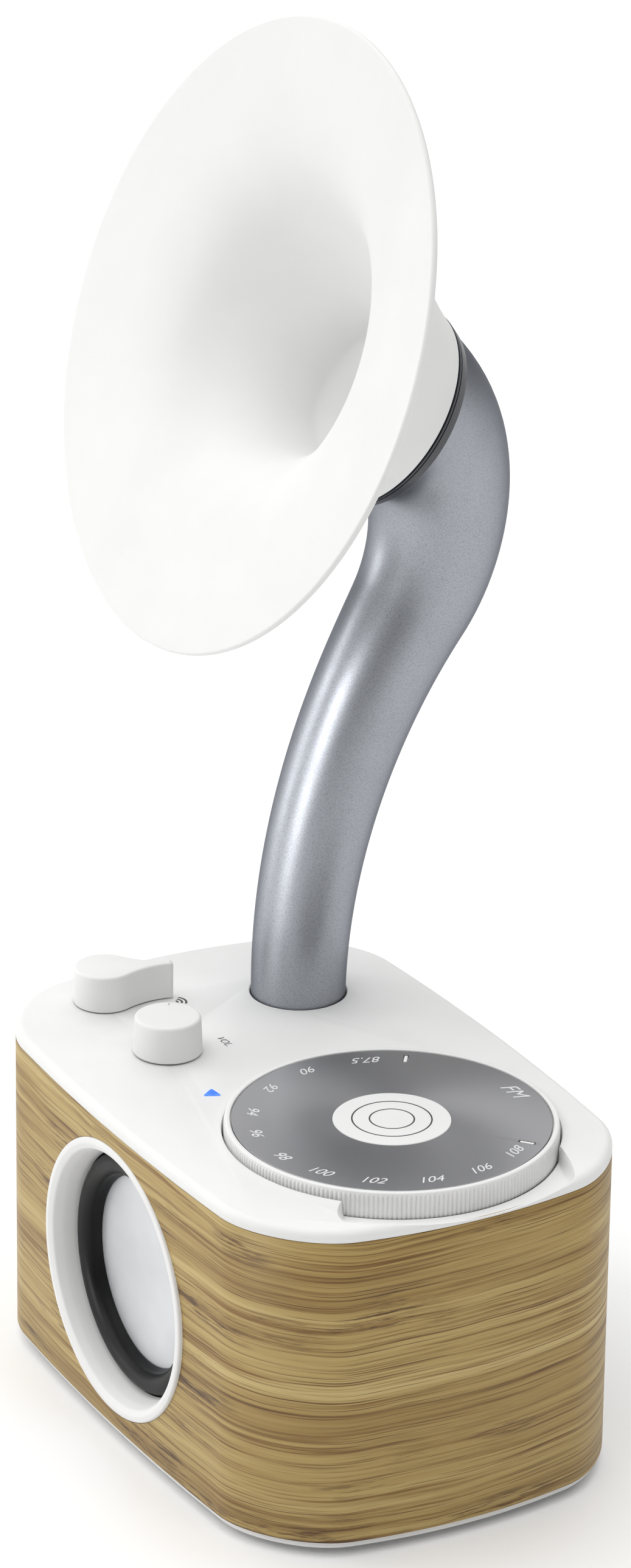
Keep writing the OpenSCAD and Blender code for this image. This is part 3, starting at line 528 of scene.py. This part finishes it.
def make_wheel():
    steps = 6 * RIB_COUNT
    rings = [circle(r, z, steps, DIAL) for r, z in ((49.4, 111.6), (49.4, WHEEL_Z), (51.3, WHEEL_Z))]
    for radius, depth, z in (
        (51.8, 0.1, WHEEL_Z + 0.1),
        (WHEEL_R - 0.1, 0.45, WHEEL_Z + 0.4), (WHEEL_R, RIB_DEPTH, WHEEL_Z + 0.8),
        (WHEEL_R, RIB_DEPTH, RIB_TOP_Z - 0.5), (WHEEL_R - 0.1, 0.4, RIB_TOP_Z - 0.15),
        (WHEEL_R - 0.3, 0.0, RIB_TOP_Z + 0.1),
    ):
        rings.append(ribbed(radius, depth, z, steps))
    for radius, z in (
        (52.2, 114.9), (52.1, 115.15), (51.85, 115.3), (FACE_R + 0.25, 115.3),
        (FACE_R + 0.05, 115.2), (FACE_R, 115.0), (FACE_R, 114.02),
    ):
        rings.append(circle(radius, z, steps, DIAL))
    return loft("dial_rim", rings, angle=50)


def make_face():
    low = FACE_Z - FACE_T + 0.03
    corners = [
        (CENTRE_R + 0.1, low, 0), (FACE_R - 0.4, low, 0), (FACE_R - 0.4, FACE_Z, 0.25),
        (CENTRE_R + 0.1, FACE_Z, 0.15),
    ]
    face = lathe("dial_plate", rounded(corners, 4), at_dial(), closed=True, steps=256)
    for angle in SLOT_ANGLES:
        slot = capsule(2.8, 0.85, 0.6)
        turn = Matrix.Rotation(math.radians(angle), 4, "Z") @ Matrix.Translation((SLOT_R, 0, 0))
        tool = prism("slot_tool", slot, low - 1, FACE_Z + 1)
        tool.data.transform(Matrix.Translation((DIAL[0] * MM, DIAL[1] * MM, 0)) @ scaled(turn))
        combine(face, tool)
    shade(face)
    return face


def make_slot_bar(number):
    """The wheel's pointer bar, seen in a slot of the plate."""
    bar = capsule(2.3, 0.5, 0.4)
    obj = prism(f"pointer_bar_{number}", bar, FACE_Z - FACE_T + 0.02, FACE_Z - 0.03)
    turn = Matrix.Rotation(math.radians(SLOT_ANGLES[number]), 4, "Z") @ Matrix.Translation((SLOT_R, 0, 0))
    obj.data.transform(Matrix.Translation((DIAL[0] * MM, DIAL[1] * MM, 0)) @ scaled(turn))
    return obj


def scaled(matrix):
    """The same placement for a mesh that is already in metres."""
    out = matrix.copy()
    out.translation = matrix.translation * MM
    return out


def make_centre():
    profile = [(AXIS_R, 114.02), (CENTRE_R, 114.02), (CENTRE_R, 115.05)]
    profile += [(CENTRE_R - 0.15, 115.2), (AXIS_R, 115.2)]
    return lathe("dial_centre", profile, at_dial())


# ---- Knobs and light ----


def make_volume():
    top = KNOB_Z + KNOB_H
    corners = [(AXIS_R, KNOB_Z, 0), (VOLUME_R - 0.25, KNOB_Z, 0.3), (VOLUME_R, KNOB_Z + 0.4, 0.3)]
    corners += [(VOLUME_R - 0.55, top, 1.3), (AXIS_R, top, 0)]
    place = Matrix.Translation((VOLUME[0], VOLUME[1], 0))
    knob = lathe("volume_cap", rounded(corners, 10, wrap=False), place)
    tool = prism("mark_tool", capsule(1.2, 0.3, 0.25), top - 0.4, top + 1)
    turn = Matrix.Rotation(math.radians(150), 4, "Z") @ Matrix.Translation((VOLUME_R - 3.2, 0, 0))
    tool.data.transform(Matrix.Translation((VOLUME[0] * MM, VOLUME[1] * MM, 0)) @ scaled(turn))
    combine(knob, tool)
    shade(knob)
    return knob


def pointer_half(x):
    root = math.sqrt(SOURCE_R**2 - POINTER_ROOT**2)
    share = (POINTER_REACH - x) / (POINTER_REACH - POINTER_ROOT)
    return POINTER_TIP + (root - POINTER_TIP) * share * share


def source_outline():
    """The round knob and its pointer as one anticlockwise outline, pointer along +X."""
    start = math.atan2(pointer_half(POINTER_ROOT), POINTER_ROOT)
    arc = [start + (math.tau - 2 * start) * i / 72 for i in range(73)]
    points = [(SOURCE_R * math.cos(a), SOURCE_R * math.sin(a)) for a in arc]
    reach = POINTER_REACH - 0.5
    stations = [POINTER_ROOT + (reach - POINTER_ROOT) * i / 24 for i in range(1, 25)]
    points += [(x, -pointer_half(x)) for x in stations]
    points += [(POINTER_REACH - 0.1, -POINTER_TIP + 0.35), (POINTER_REACH, -POINTER_TIP + 0.8)]
    points += [(POINTER_REACH, POINTER_TIP - 0.8), (POINTER_REACH - 0.1, POINTER_TIP - 0.35)]
    points += [(x, pointer_half(x)) for x in reversed(stations)]
    return points


def make_source():
    turn = Matrix.Rotation(math.radians(POINTER_ANGLE), 2)
    points = [turn @ Vector(p) + Vector(SOURCE) for p in source_outline()]
    points = [(p.x, p.y) for p in points]
    return prism("source_cap", points, KNOB_Z, KNOB_Z + KNOB_H, edge=0.9, angle=50)


def make_light():
    corners = []
    for k in range(3):
        a = math.radians(35 + 120 * k)
        corners.append((LIGHT[0] + 3.5 * math.cos(a), LIGHT[1] + 3.5 * math.sin(a), 0.7))
    return prism("light_lens", rounded(corners, 6), TOP_Z - 1.0, 112.4, edge=0.25)


# ---- Horn ----


def direction(tilt):
    return Vector((0, -math.cos(math.radians(tilt)), math.sin(math.radians(tilt))))


HORN_PLACE = Matrix.Translation(RING_BACK) @ Matrix.Rotation(math.radians(90 - THROAT_TILT), 4, "X")
RING_FRONT = RING_BACK + RING_LENGTH * direction(THROAT_TILT)
NECK_FOOT = Vector((HORN_X, NECK_Y, TOP_Z))
BEND = Vector((HORN_X, 69.0, 241.3))
BEND_WAY = Vector((0, math.cos(math.radians(59.6)), math.sin(math.radians(59.6))))
NECK_LOW = (NECK_FOOT, NECK_FOOT + Vector((0, 0, 69.8)), BEND - 15 * BEND_WAY, BEND)
NECK_HIGH = (BEND, BEND + 23.3 * BEND_WAY, RING_BACK - 25 * direction(THROAT_TILT), RING_BACK)
BELL_HANDLE = 0.45 * (MOUTH - RING_FRONT).length
BELL_LINE = (
    RING_FRONT, RING_FRONT + BELL_HANDLE * direction(THROAT_TILT),
    MOUTH - BELL_HANDLE * direction(MOUTH_TILT), MOUTH,
)


def curve_point(c, t):
    return (1 - t) ** 3 * c[0] + 3 * (1 - t) ** 2 * t * c[1] + 3 * (1 - t) * t * t * c[2] + t**3 * c[3]


def curve_slope(c, t):
    run = (1 - t) ** 2 * (c[1] - c[0]) + 2 * (1 - t) * t * (c[2] - c[1]) + t * t * (c[3] - c[2])
    return run.normalized()


def hoop(centre, along, radius, steps):
    """A circle round a point, square to a direction in the horn's plane."""
    side = Vector((1, 0, 0))
    other = along.cross(side)
    return [
        centre + radius * (math.cos(math.tau * i / steps) * side + math.sin(math.tau * i / steps) * other)
        for i in range(steps)
    ]


def neck_hoops(inset):
    steps = 128
    rings = [hoop(Vector((HORN_X, NECK_Y, 100)), Vector((0, 0, 1)), NECK_R - inset, steps)]
    for i in range(49):
        t = i / 48
        radius = NECK_R + (BEND_R - NECK_R) * t**1.1
        rings.append(hoop(curve_point(NECK_LOW, t), curve_slope(NECK_LOW, t), radius - inset, steps))
    for i in range(1, 31):
        t = i / 30
        radius = BEND_R + (NECK_END_R - BEND_R) * (0.5 * t + 0.5 * t**4.5)
        rings.append(hoop(curve_point(NECK_HIGH, t), curve_slope(NECK_HIGH, t), radius - inset, steps))
    return rings


def make_neck():
    rings = neck_hoops(0.1) + list(reversed(neck_hoops(NECK_WALL)))
    return loft("horn_tube", rings, closed=True)


def make_ring():
    corners = [
        (22.9, -3, 0), (25.8, -3, 0), (25.8, 0, 0), (31.7, 0, 0), (32.4, 0.55, 0.1), (33.75, 3.9, 0),
        (33.45, 4.05, 0), (33.55, 4.35, 0), (33.95, 4.45, 0), (34.3, 5.3, 0.15), (33.7, 5.5, 0),
        (33.7, 6.1, 0), (29.2, 6.1, 0), (29.2, 3, 0), (22.9, 3, 0),
    ]
    return lathe("throat_collar", rounded(corners, 4), HORN_PLACE, closed=True, steps=200, angle=25)


def bell_outer(t):
    return BELL_BACK_R + (BELL_R - 0.8 - BELL_BACK_R) * (0.38 * t + 0.62 * t**12)


def bell_inner(t):
    flare = (BELL_R - 0.8 - BELL_THROAT_R) * (0.22 * t + 0.27 * t * t + 0.51 * t**20)
    return BELL_THROAT_R + flare - PINCH * max(0.0, 1 - t / PINCH_END) ** 2


def bell_hoop(t, radius, shift):
    along = curve_slope(BELL_LINE, t)
    return hoop(curve_point(BELL_LINE, t) + shift * along, along, radius, 200)


def make_bell():
    """An outer skirt and an inner funnel that meet behind the rolled rim."""
    skirt = [1 - (1 - i / 50) ** 1.7 for i in range(51)]
    pinch = [FUNNEL_START + (PINCH_END - FUNNEL_START) * i / 12 for i in range(12)]
    funnel = pinch + [1 - (1 - PINCH_END) * (1 - i / 70) ** 1.8 for i in range(71)]
    hollow = pinch + [PINCH_END + (HOLLOW_END - PINCH_END) * i / 16 for i in range(17)]
    rings = [bell_hoop(t, bell_outer(t), -LIP_T * t) for t in skirt]
    for k in range(1, 12):
        a = math.radians(180 * k / 12)
        edge = BELL_R - 0.8 + 0.8 * math.sin(a)
        rings.append(bell_hoop(1, edge, -LIP_T / 2 - LIP_T / 2 * math.cos(a)))
    rings += [bell_hoop(t, bell_inner(t), 0) for t in reversed(funnel)]
    rings += [bell_hoop(t, bell_inner(t) + BELL_WALL, 0) for t in hollow]
    rings += [bell_hoop(t, bell_outer(t) - BELL_WALL, -LIP_T * t) for t in reversed([0.0] + hollow)]
    return loft("horn_flare", rings, closed=True)


# ---- Printing ----

NUMERALS = (
    ("87.5", 160.8), ("90", 187.8), ("92", 210.9), ("94", 235.1), ("96", 255.5), ("98", 279.2),
    ("100", 299.9), ("102", 322.6), ("104", 346.1), ("106", 8.7), ("108", 30.1),
)


def lettering(name, words, x, y, z, size, turn):
    data = bpy.data.curves.new(name, "FONT")
    data.body = words
    data.size = size * MM
    data.shear = 0.35
    data.align_x = "CENTER"
    data.align_y = "CENTER"
    data.extrude = 0.015 * MM
    obj = bpy.data.objects.new(name, data)
    bpy.context.scene.collection.objects.link(obj)
    obj.location = (x * MM, y * MM, (z + 0.03) * MM)
    obj.rotation_euler = (0, 0, math.radians(turn))
    return obj


def arc_mark(name, centre, inner, outer, start, stop, z):
    """A thin printed arc."""
    steps = 48
    angles = [math.radians(start + (stop - start) * i / steps) for i in range(steps + 1)]
    points = [(centre[0] + outer * math.cos(a), centre[1] + outer * math.sin(a)) for a in angles]
    points += [(centre[0] + inner * math.cos(a), centre[1] + inner * math.sin(a)) for a in reversed(angles)]
    return prism(name, points, z, z + 0.04)


# ---- Materials ----


def rgb(r, g, b):
    """A screen colour from 0 to 255 as linear light."""
    parts = [c / 255 for c in (r, g, b)]
    return (*[c / 12.92 if c <= 0.04045 else ((c + 0.055) / 1.055) ** 2.4 for c in parts], 1.0)


class Finish:
    """A material built from procedural nodes."""

    def __init__(self, name):
        self.material = bpy.data.materials.new(name)
        self.material.use_nodes = True
        self.tree = self.material.node_tree
        self.shader = self.tree.nodes["Principled BSDF"]
        self.place = self.node("ShaderNodeTexCoord").outputs["Object"]

    def node(self, kind, **values):
        made = self.tree.nodes.new(kind)
        for key, value in values.items():
            if key in made.inputs:
                made.inputs[key].default_value = value
            else:
                setattr(made, key, value)
        return made

    def link(self, start, end):
        self.tree.links.new(start, end)

    def stretched(self, place, scale):
        mapping = self.node("ShaderNodeMapping", Scale=scale)
        self.link(place, mapping.inputs["Vector"])
        return mapping.outputs["Vector"]

    def multiply(self, colour, tint, share=None):
        made = self.node("ShaderNodeMix", data_type="RGBA", blend_type="MULTIPLY")
        made.inputs[0].default_value = 1.0
        self.link(colour, made.inputs[6])
        self.link(tint, made.inputs[7])
        if share is not None:
            self.link(share, made.inputs[0])
        return made.outputs[2]

    def noise(self, scale, detail=4.0, roughness=0.5, place=None):
        made = self.node("ShaderNodeTexNoise", Scale=scale, Detail=detail, Roughness=roughness)
        self.link(place or self.place, made.inputs["Vector"])
        return made.outputs["Fac"]

    def ramp(self, source, *stops):
        made = self.node("ShaderNodeValToRGB")
        made.color_ramp.elements[0].position = stops[0][0]
        made.color_ramp.elements[0].color = stops[0][1]
        made.color_ramp.elements[1].position = stops[-1][0]
        made.color_ramp.elements[1].color = stops[-1][1]
        for at, colour in stops[1:-1]:
            made.color_ramp.elements.new(at).color = colour
        self.link(source, made.inputs["Fac"])
        return made.outputs["Color"]

    def span(self, source, low, high, start=0.3, stop=0.7):
        """Maps a noise onto a range of values."""
        made = self.node("ShaderNodeMapRange")
        made.inputs["From Min"].default_value = start
        made.inputs["From Max"].default_value = stop
        made.inputs["To Min"].default_value = low
        made.inputs["To Max"].default_value = high
        self.link(source, made.inputs["Value"])
        return made.outputs["Result"]

    def bump(self, source, depth, strength=1.0):
        made = self.node("ShaderNodeBump", Strength=strength, Distance=depth)
        self.link(source, made.inputs["Height"])
        self.link(made.outputs["Normal"], self.shader.inputs["Normal"])

    def set(self, **values):
        for key, value in values.items():
            self.shader.inputs[key.replace("_", " ")].default_value = value


def mottled(name, low, high, scale, rough, metal=0.0):
    """Plain stock: a faint change of tone and sheen over it, and a fine grain."""
    finish = Finish(name)
    tone = finish.noise(scale)
    finish.link(finish.ramp(tone, (0.3, low), (0.7, high)), finish.shader.inputs["Base Color"])
    finish.link(finish.span(tone, *rough), finish.shader.inputs["Roughness"])
    finish.bump(finish.noise(2500.0, 2.0), 0.00001)
    finish.set(Metallic=metal)
    return finish


def bamboo():
    """Pressed bamboo: level bands, streaks and fine dark threads, with a few short dark knots."""
    finish = Finish("bamboo")
    bend = finish.noise(8.0, 3.0, 0.5)
    shift = finish.node("ShaderNodeCombineXYZ")
    finish.link(finish.span(bend, -0.002, 0.002), shift.inputs["Z"])
    moved = finish.node("ShaderNodeVectorMath", operation="ADD")
    finish.link(finish.place, moved.inputs[0])
    finish.link(shift.outputs["Vector"], moved.inputs[1])
    grain = moved.outputs["Vector"]
    band = finish.noise(1.0, 3.0, 0.6, finish.stretched(grain, (4, 4, 150)))
    streak = finish.noise(1.0, 5.0, 0.65, finish.stretched(grain, (9, 9, 700)))
    thread = finish.noise(1.0, 3.0, 0.6, finish.stretched(grain, (17, 17, 2200)))
    knot = finish.noise(1.0, 4.0, 0.7, finish.stretched(grain, (55, 55, 900)))
    patch = finish.noise(1.0, 1.0, 0.5, finish.stretched(grain, (16, 16, 75)))
    tone = finish.ramp(
        band, (0.34, rgb(150, 121, 62)), (0.5, rgb(173, 147, 86)), (0.68, rgb(190, 167, 109)),
    )
    dark_streak = finish.ramp(streak, (0.36, rgb(180, 154, 106)), (0.52, rgb(255, 255, 255)))
    dark_thread = finish.ramp(thread, (0.33, rgb(150, 122, 78)), (0.42, rgb(255, 255, 255)))
    dark_knot = finish.ramp(knot, (0.40, rgb(150, 124, 84)), (0.52, rgb(255, 255, 255)))
    streaked = finish.multiply(tone, dark_streak)
    threaded = finish.multiply(streaked, dark_thread)
    knotted = finish.multiply(threaded, dark_knot, finish.span(patch, 0.0, 1.0, 0.56, 0.64))
    finish.link(knotted, finish.shader.inputs["Base Color"])
    finish.link(finish.span(streak, 0.52, 0.42), finish.shader.inputs["Roughness"])
    finish.bump(thread, 0.00004, 0.6)
    return finish


def silver_paint():
    finish = Finish("silver_paint")
    flake = finish.node("ShaderNodeTexVoronoi", Scale=2600.0)
    finish.link(finish.place, flake.inputs["Vector"])
    spark = finish.span(flake.outputs["Distance"], 0.0, 1.0, 0.1, 0.8)
    colour = finish.ramp(spark, (0.0, rgb(173, 176, 182)), (1.0, rgb(151, 154, 160)))
    finish.link(colour, finish.shader.inputs["Base Color"])
    finish.link(finish.span(finish.noise(60.0), 0.36, 0.42), finish.shader.inputs["Roughness"])
    finish.bump(finish.noise(3200.0, 2.0), 0.00001, 0.4)
    finish.set(Metallic=1.0, Specular_Tint=rgb(150, 151, 154))
    return finish


def brushed_dial():
    finish = Finish("brushed_dial")
    turned = finish.node("ShaderNodeVectorMath", operation="SUBTRACT")
    turned.inputs[1].default_value = (DIAL[0] * MM, DIAL[1] * MM, 0)
    finish.link(finish.place, turned.inputs[0])
    parts = finish.node("ShaderNodeSeparateXYZ")
    finish.link(turned.outputs["Vector"], parts.inputs["Vector"])
    angle = finish.node("ShaderNodeMath", operation="ARCTAN2")
    finish.link(parts.outputs["Y"], angle.inputs[0])
    finish.link(parts.outputs["X"], angle.inputs[1])
    spoke = finish.node("ShaderNodeCombineXYZ")
    finish.link(angle.outputs["Value"], spoke.inputs["X"])
    line = finish.noise(240.0, 3.0, 0.7, spoke.outputs["Vector"])
    finish.link(
        finish.ramp(line, (0.3, rgb(152, 152, 154)), (0.7, rgb(172, 172, 174))),
        finish.shader.inputs["Base Color"],
    )
    finish.link(finish.span(line, 0.34, 0.43), finish.shader.inputs["Roughness"])
    tangent = finish.node("ShaderNodeTangent", direction_type="RADIAL", axis="Z")
    finish.link(tangent.outputs["Tangent"], finish.shader.inputs["Tangent"])
    finish.set(Metallic=0.9, Anisotropic=0.7)
    return finish


def rubber():
    finish = mottled("black_rubber", rgb(6, 6, 7), rgb(11, 11, 12), 120.0, (0.4, 0.48))
    finish.set(Specular_IOR_Level=0.25)
    return finish


def lit_lens():
    finish = mottled("lit_lens", rgb(40, 90, 225), rgb(70, 125, 240), 500.0, (0.2, 0.3))
    finish.shader.inputs["Emission Color"].default_value = rgb(60, 120, 245)
    finish.shader.inputs["Emission Strength"].default_value = 0.55
    return finish


def woven():
    finish = mottled("woven", rgb(176, 140, 80), rgb(205, 170, 108), 150.0, (0.7, 0.85))
    wave = finish.node("ShaderNodeTexWave", Scale=260.0, Distortion=1.0)
    finish.link(finish.place, wave.inputs["Vector"])
    finish.bump(wave.outputs["Fac"], 0.0001)
    return finish


FINISHES = {
    "bamboo": bamboo(),
    "white_shell": mottled("white_shell", rgb(228, 228, 227), rgb(232, 232, 231), 35.0, (0.54, 0.62)),
    "silver_neck": silver_paint(),
    "black_ring": mottled("black_ring", rgb(30, 32, 40), rgb(36, 38, 47), 80.0, (0.28, 0.36)),
    "black_rubber": rubber(),
    "silver_disc": mottled("silver_disc", rgb(205, 207, 210), rgb(218, 220, 223), 40.0, (0.42, 0.5), 0.6),
    "dial_grey": brushed_dial(),
    "steel": mottled("steel", rgb(172, 172, 176), rgb(192, 192, 196), 300.0, (0.25, 0.38), 1.0),
    "brass": mottled("brass", rgb(190, 155, 85), rgb(205, 170, 98), 200.0, (0.25, 0.4), 1.0),
    "ferrite": mottled("ferrite", rgb(52, 52, 55), rgb(70, 70, 74), 400.0, (0.55, 0.7)),
    "copper_coil": mottled("copper_coil", rgb(176, 98, 56), rgb(200, 120, 70), 500.0, (0.3, 0.4), 0.8),
    "black_plastic": mottled("black_plastic", rgb(30, 30, 32), rgb(38, 38, 40), 150.0, (0.5, 0.6)),
    "paper_cone": mottled("paper_cone", rgb(186, 185, 182), rgb(200, 199, 196), 500.0, (0.75, 0.9)),
    "spider_cloth": woven(),
    "circuit_green": mottled("circuit_green", rgb(18, 84, 48), rgb(26, 100, 58), 700.0, (0.3, 0.45)),
    "nylon": mottled("nylon", rgb(226, 222, 206), rgb(236, 232, 218), 150.0, (0.4, 0.5)),
    "blue_lens": lit_lens(),
    "blue_sleeve": mottled("blue_sleeve", rgb(30, 48, 110), rgb(42, 62, 130), 200.0, (0.3, 0.4)),
    "red_lead": mottled("red_lead", rgb(140, 24, 22), rgb(160, 34, 30), 200.0, (0.45, 0.6)),
}
PRINT_GREY = mottled("print_grey", rgb(62, 62, 64), rgb(76, 76, 78), 900.0, (0.5, 0.6))
PRINT_LIGHT = mottled("print_light", rgb(215, 215, 216), rgb(230, 230, 230), 900.0, (0.4, 0.5))


def dress_cad():
    """Every CAD node takes the finish of its slot in the record."""
    for row in frame["record"]["subparts"]:
        obj = frame["nodes"][row["node"]]
        obj.data.materials.clear()
        obj.data.materials.append(FINISHES[row["material_slot"]].material)


def finish_piece(obj, body, slot, *nodes):
    settle(obj, body, slot, FINISHES[slot].material, *nodes)


def add_surround():
    """The rubber surround as one still piece in place of the CAD node, not joined to any body; on the
    speaker its inner edge moves with the cone, and its roll and flange stay on the cabinet.
    """
    surround = make_surround()
    surround.data.materials.clear()
    surround.data.materials.append(FINISHES["black_rubber"].material)
    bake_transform(surround)
    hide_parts("woofer_surround")


def make_pieces():
    finish_piece(make_sleeve(), "cabinet", "bamboo", "wood_sleeve")
    finish_piece(make_cover(), "cabinet", "white_shell", "top_cover")
    finish_piece(make_base(), "cabinet", "white_shell", "base_plate")
    finish_piece(make_port_ring(), "cabinet", "white_shell", "port_ring")
    add_surround()
    finish_piece(make_disc(), "bass_cone", "silver_disc", "woofer_disc")
    finish_piece(make_wheel(), "dial", "white_shell", "dial_wheel")
    finish_piece(make_face(), "dial", "dial_grey", "dial_face")
    finish_piece(make_slot_bar(0), "dial", "white_shell")
    finish_piece(make_slot_bar(1), "dial", "white_shell")
    finish_piece(make_centre(), "dial", "white_shell", "dial_centre_disc")
    finish_piece(make_volume(), "volume_control", "white_shell", "volume_knob")
    finish_piece(make_source(), "source_control", "white_shell", "source_knob")
    finish_piece(make_light(), "cabinet", "blue_lens", "light_window")
    finish_piece(make_neck(), "cabinet", "silver_neck", "horn_neck")
    finish_piece(make_ring(), "cabinet", "black_ring", "throat_ring")
    finish_piece(make_bell(), "cabinet", "white_shell", "horn_bell")


def printed(obj, body, finish):
    obj.data.materials.append(finish.material)
    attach(obj, body)


def make_printing():
    for words, angle in NUMERALS:
        x = DIAL[0] + NUMERAL_R * math.cos(math.radians(angle))
        y = DIAL[1] + NUMERAL_R * math.sin(math.radians(angle))
        name = "numeral_" + words.replace(".", "_")
        printed(lettering(name, words, x, y, FACE_Z, 5.4, angle + 90), "dial", PRINT_LIGHT)
    printed(
        lettering("band_name", "FM", DIAL[0], DIAL[1] + 43.8, FACE_Z, 7.5, 1.3), "dial", PRINT_LIGHT
    )
    printed(
        lettering("volume_name", "VOL.", -35.4, -11.3, TOP_Z, 3.6, 0), "cabinet", PRINT_GREY
    )
    for k, radius in enumerate((1.0, 2.4, 3.8)):
        mark = arc_mark(f"wireless_mark_{k}", (-69.4, -11.5), radius - 0.35, radius + 0.35, 45, 135, TOP_Z)
        printed(mark, "cabinet", PRINT_GREY)
    for k, radius in enumerate((7.0, 12.5)):
        mark = arc_mark(f"centre_mark_{k}", DIAL, radius - 0.25, radius + 0.25, 0, 359.9, 115.2)
        printed(mark, "dial", PRINT_GREY)


# ---- Stage ----

WORLD_DIM = 0.14
WORLD_BRIGHT = 0.46
OVERHEAD = 2.6
FLOOR_REACH = 6.0


def add_floor():
    mesh = bpy.data.meshes.new("floor")
    corners = [(-1, -1), (1, -1), (1, 1), (-1, 1)]
    points = [(FLOOR_REACH * x, FLOOR_REACH * y, 0) for x, y in corners]
    mesh.from_pydata(points, [], [(0, 1, 2, 3)])
    floor = bpy.data.objects.new("floor", mesh)
    bpy.context.scene.collection.objects.link(floor)
    finish = mottled("floor", rgb(246, 246, 246), rgb(250, 250, 250), 2.0, (0.6, 0.7))
    mesh.materials.append(finish.material)


def add_light(name, at, target, size, power):
    """A soft box that faces the target."""
    data = bpy.data.lights.new(name, "AREA")
    data.shape = "RECTANGLE"
    data.size = size[0]
    data.size_y = size[1]
    data.energy = power
    light = bpy.data.objects.new(name, data)
    light.location = at
    light.rotation_mode = "QUATERNION"
    light.rotation_quaternion = (Vector(target) - Vector(at)).to_track_quat("-Z", "Y")
    bpy.context.scene.collection.objects.link(light)
    return light


def add_world():
    """Even studio light, brightest from above on the left."""
    world = bpy.data.worlds.new("studio")
    world.use_nodes = True
    tree = world.node_tree
    place = tree.nodes.new("ShaderNodeTexCoord")
    side = tree.nodes.new("ShaderNodeVectorMath")
    side.operation = "DOT_PRODUCT"
    side.inputs[1].default_value = (-0.5, -0.2, 0.84)
    tree.links.new(place.outputs["Generated"], side.inputs[0])
    ramp = tree.nodes.new("ShaderNodeMapRange")
    ramp.inputs["From Min"].default_value = -1.0
    ramp.inputs["From Max"].default_value = 1.0
    ramp.inputs["To Min"].default_value = WORLD_DIM
    ramp.inputs["To Max"].default_value = WORLD_BRIGHT
    tree.links.new(side.outputs["Value"], ramp.inputs["Value"])
    background = tree.nodes["Background"]
    background.inputs["Color"].default_value = (1, 1, 1, 1)
    tree.links.new(ramp.outputs["Result"], background.inputs["Strength"])
    bpy.context.scene.world = world


def add_overhead():
    """A broad soft light from above, the same all over the floor."""
    data = bpy.data.lights.new("overhead", "SUN")
    data.energy = OVERHEAD
    data.angle = math.radians(95)
    light = bpy.data.objects.new("overhead", data)
    light.rotation_mode = "QUATERNION"
    light.rotation_quaternion = Vector((0.15, 0.1, -1)).to_track_quat("-Z", "Y")
    bpy.context.scene.collection.objects.link(light)


def add_lights():
    add_world()
    add_overhead()
    add_light("key", (-1.6, -1.8, 0.6), (0, 0, 0.25), (0.6, 1.2), 11)
    add_light("side", (2.3, 1.0, 0.9), (0, 0, 0.2), (0.4, 1.6), 2.4)
    glint = add_light("glint", (0.2, -2.3, 0.5), (0, 0, 0.25), (0.7, 1.6), 26)
    glint.visible_diffuse = False
    bpy.context.scene.view_settings.view_transform = "Standard"


dress_cad()
make_pieces()
make_printing()
add_floor()
add_lights()
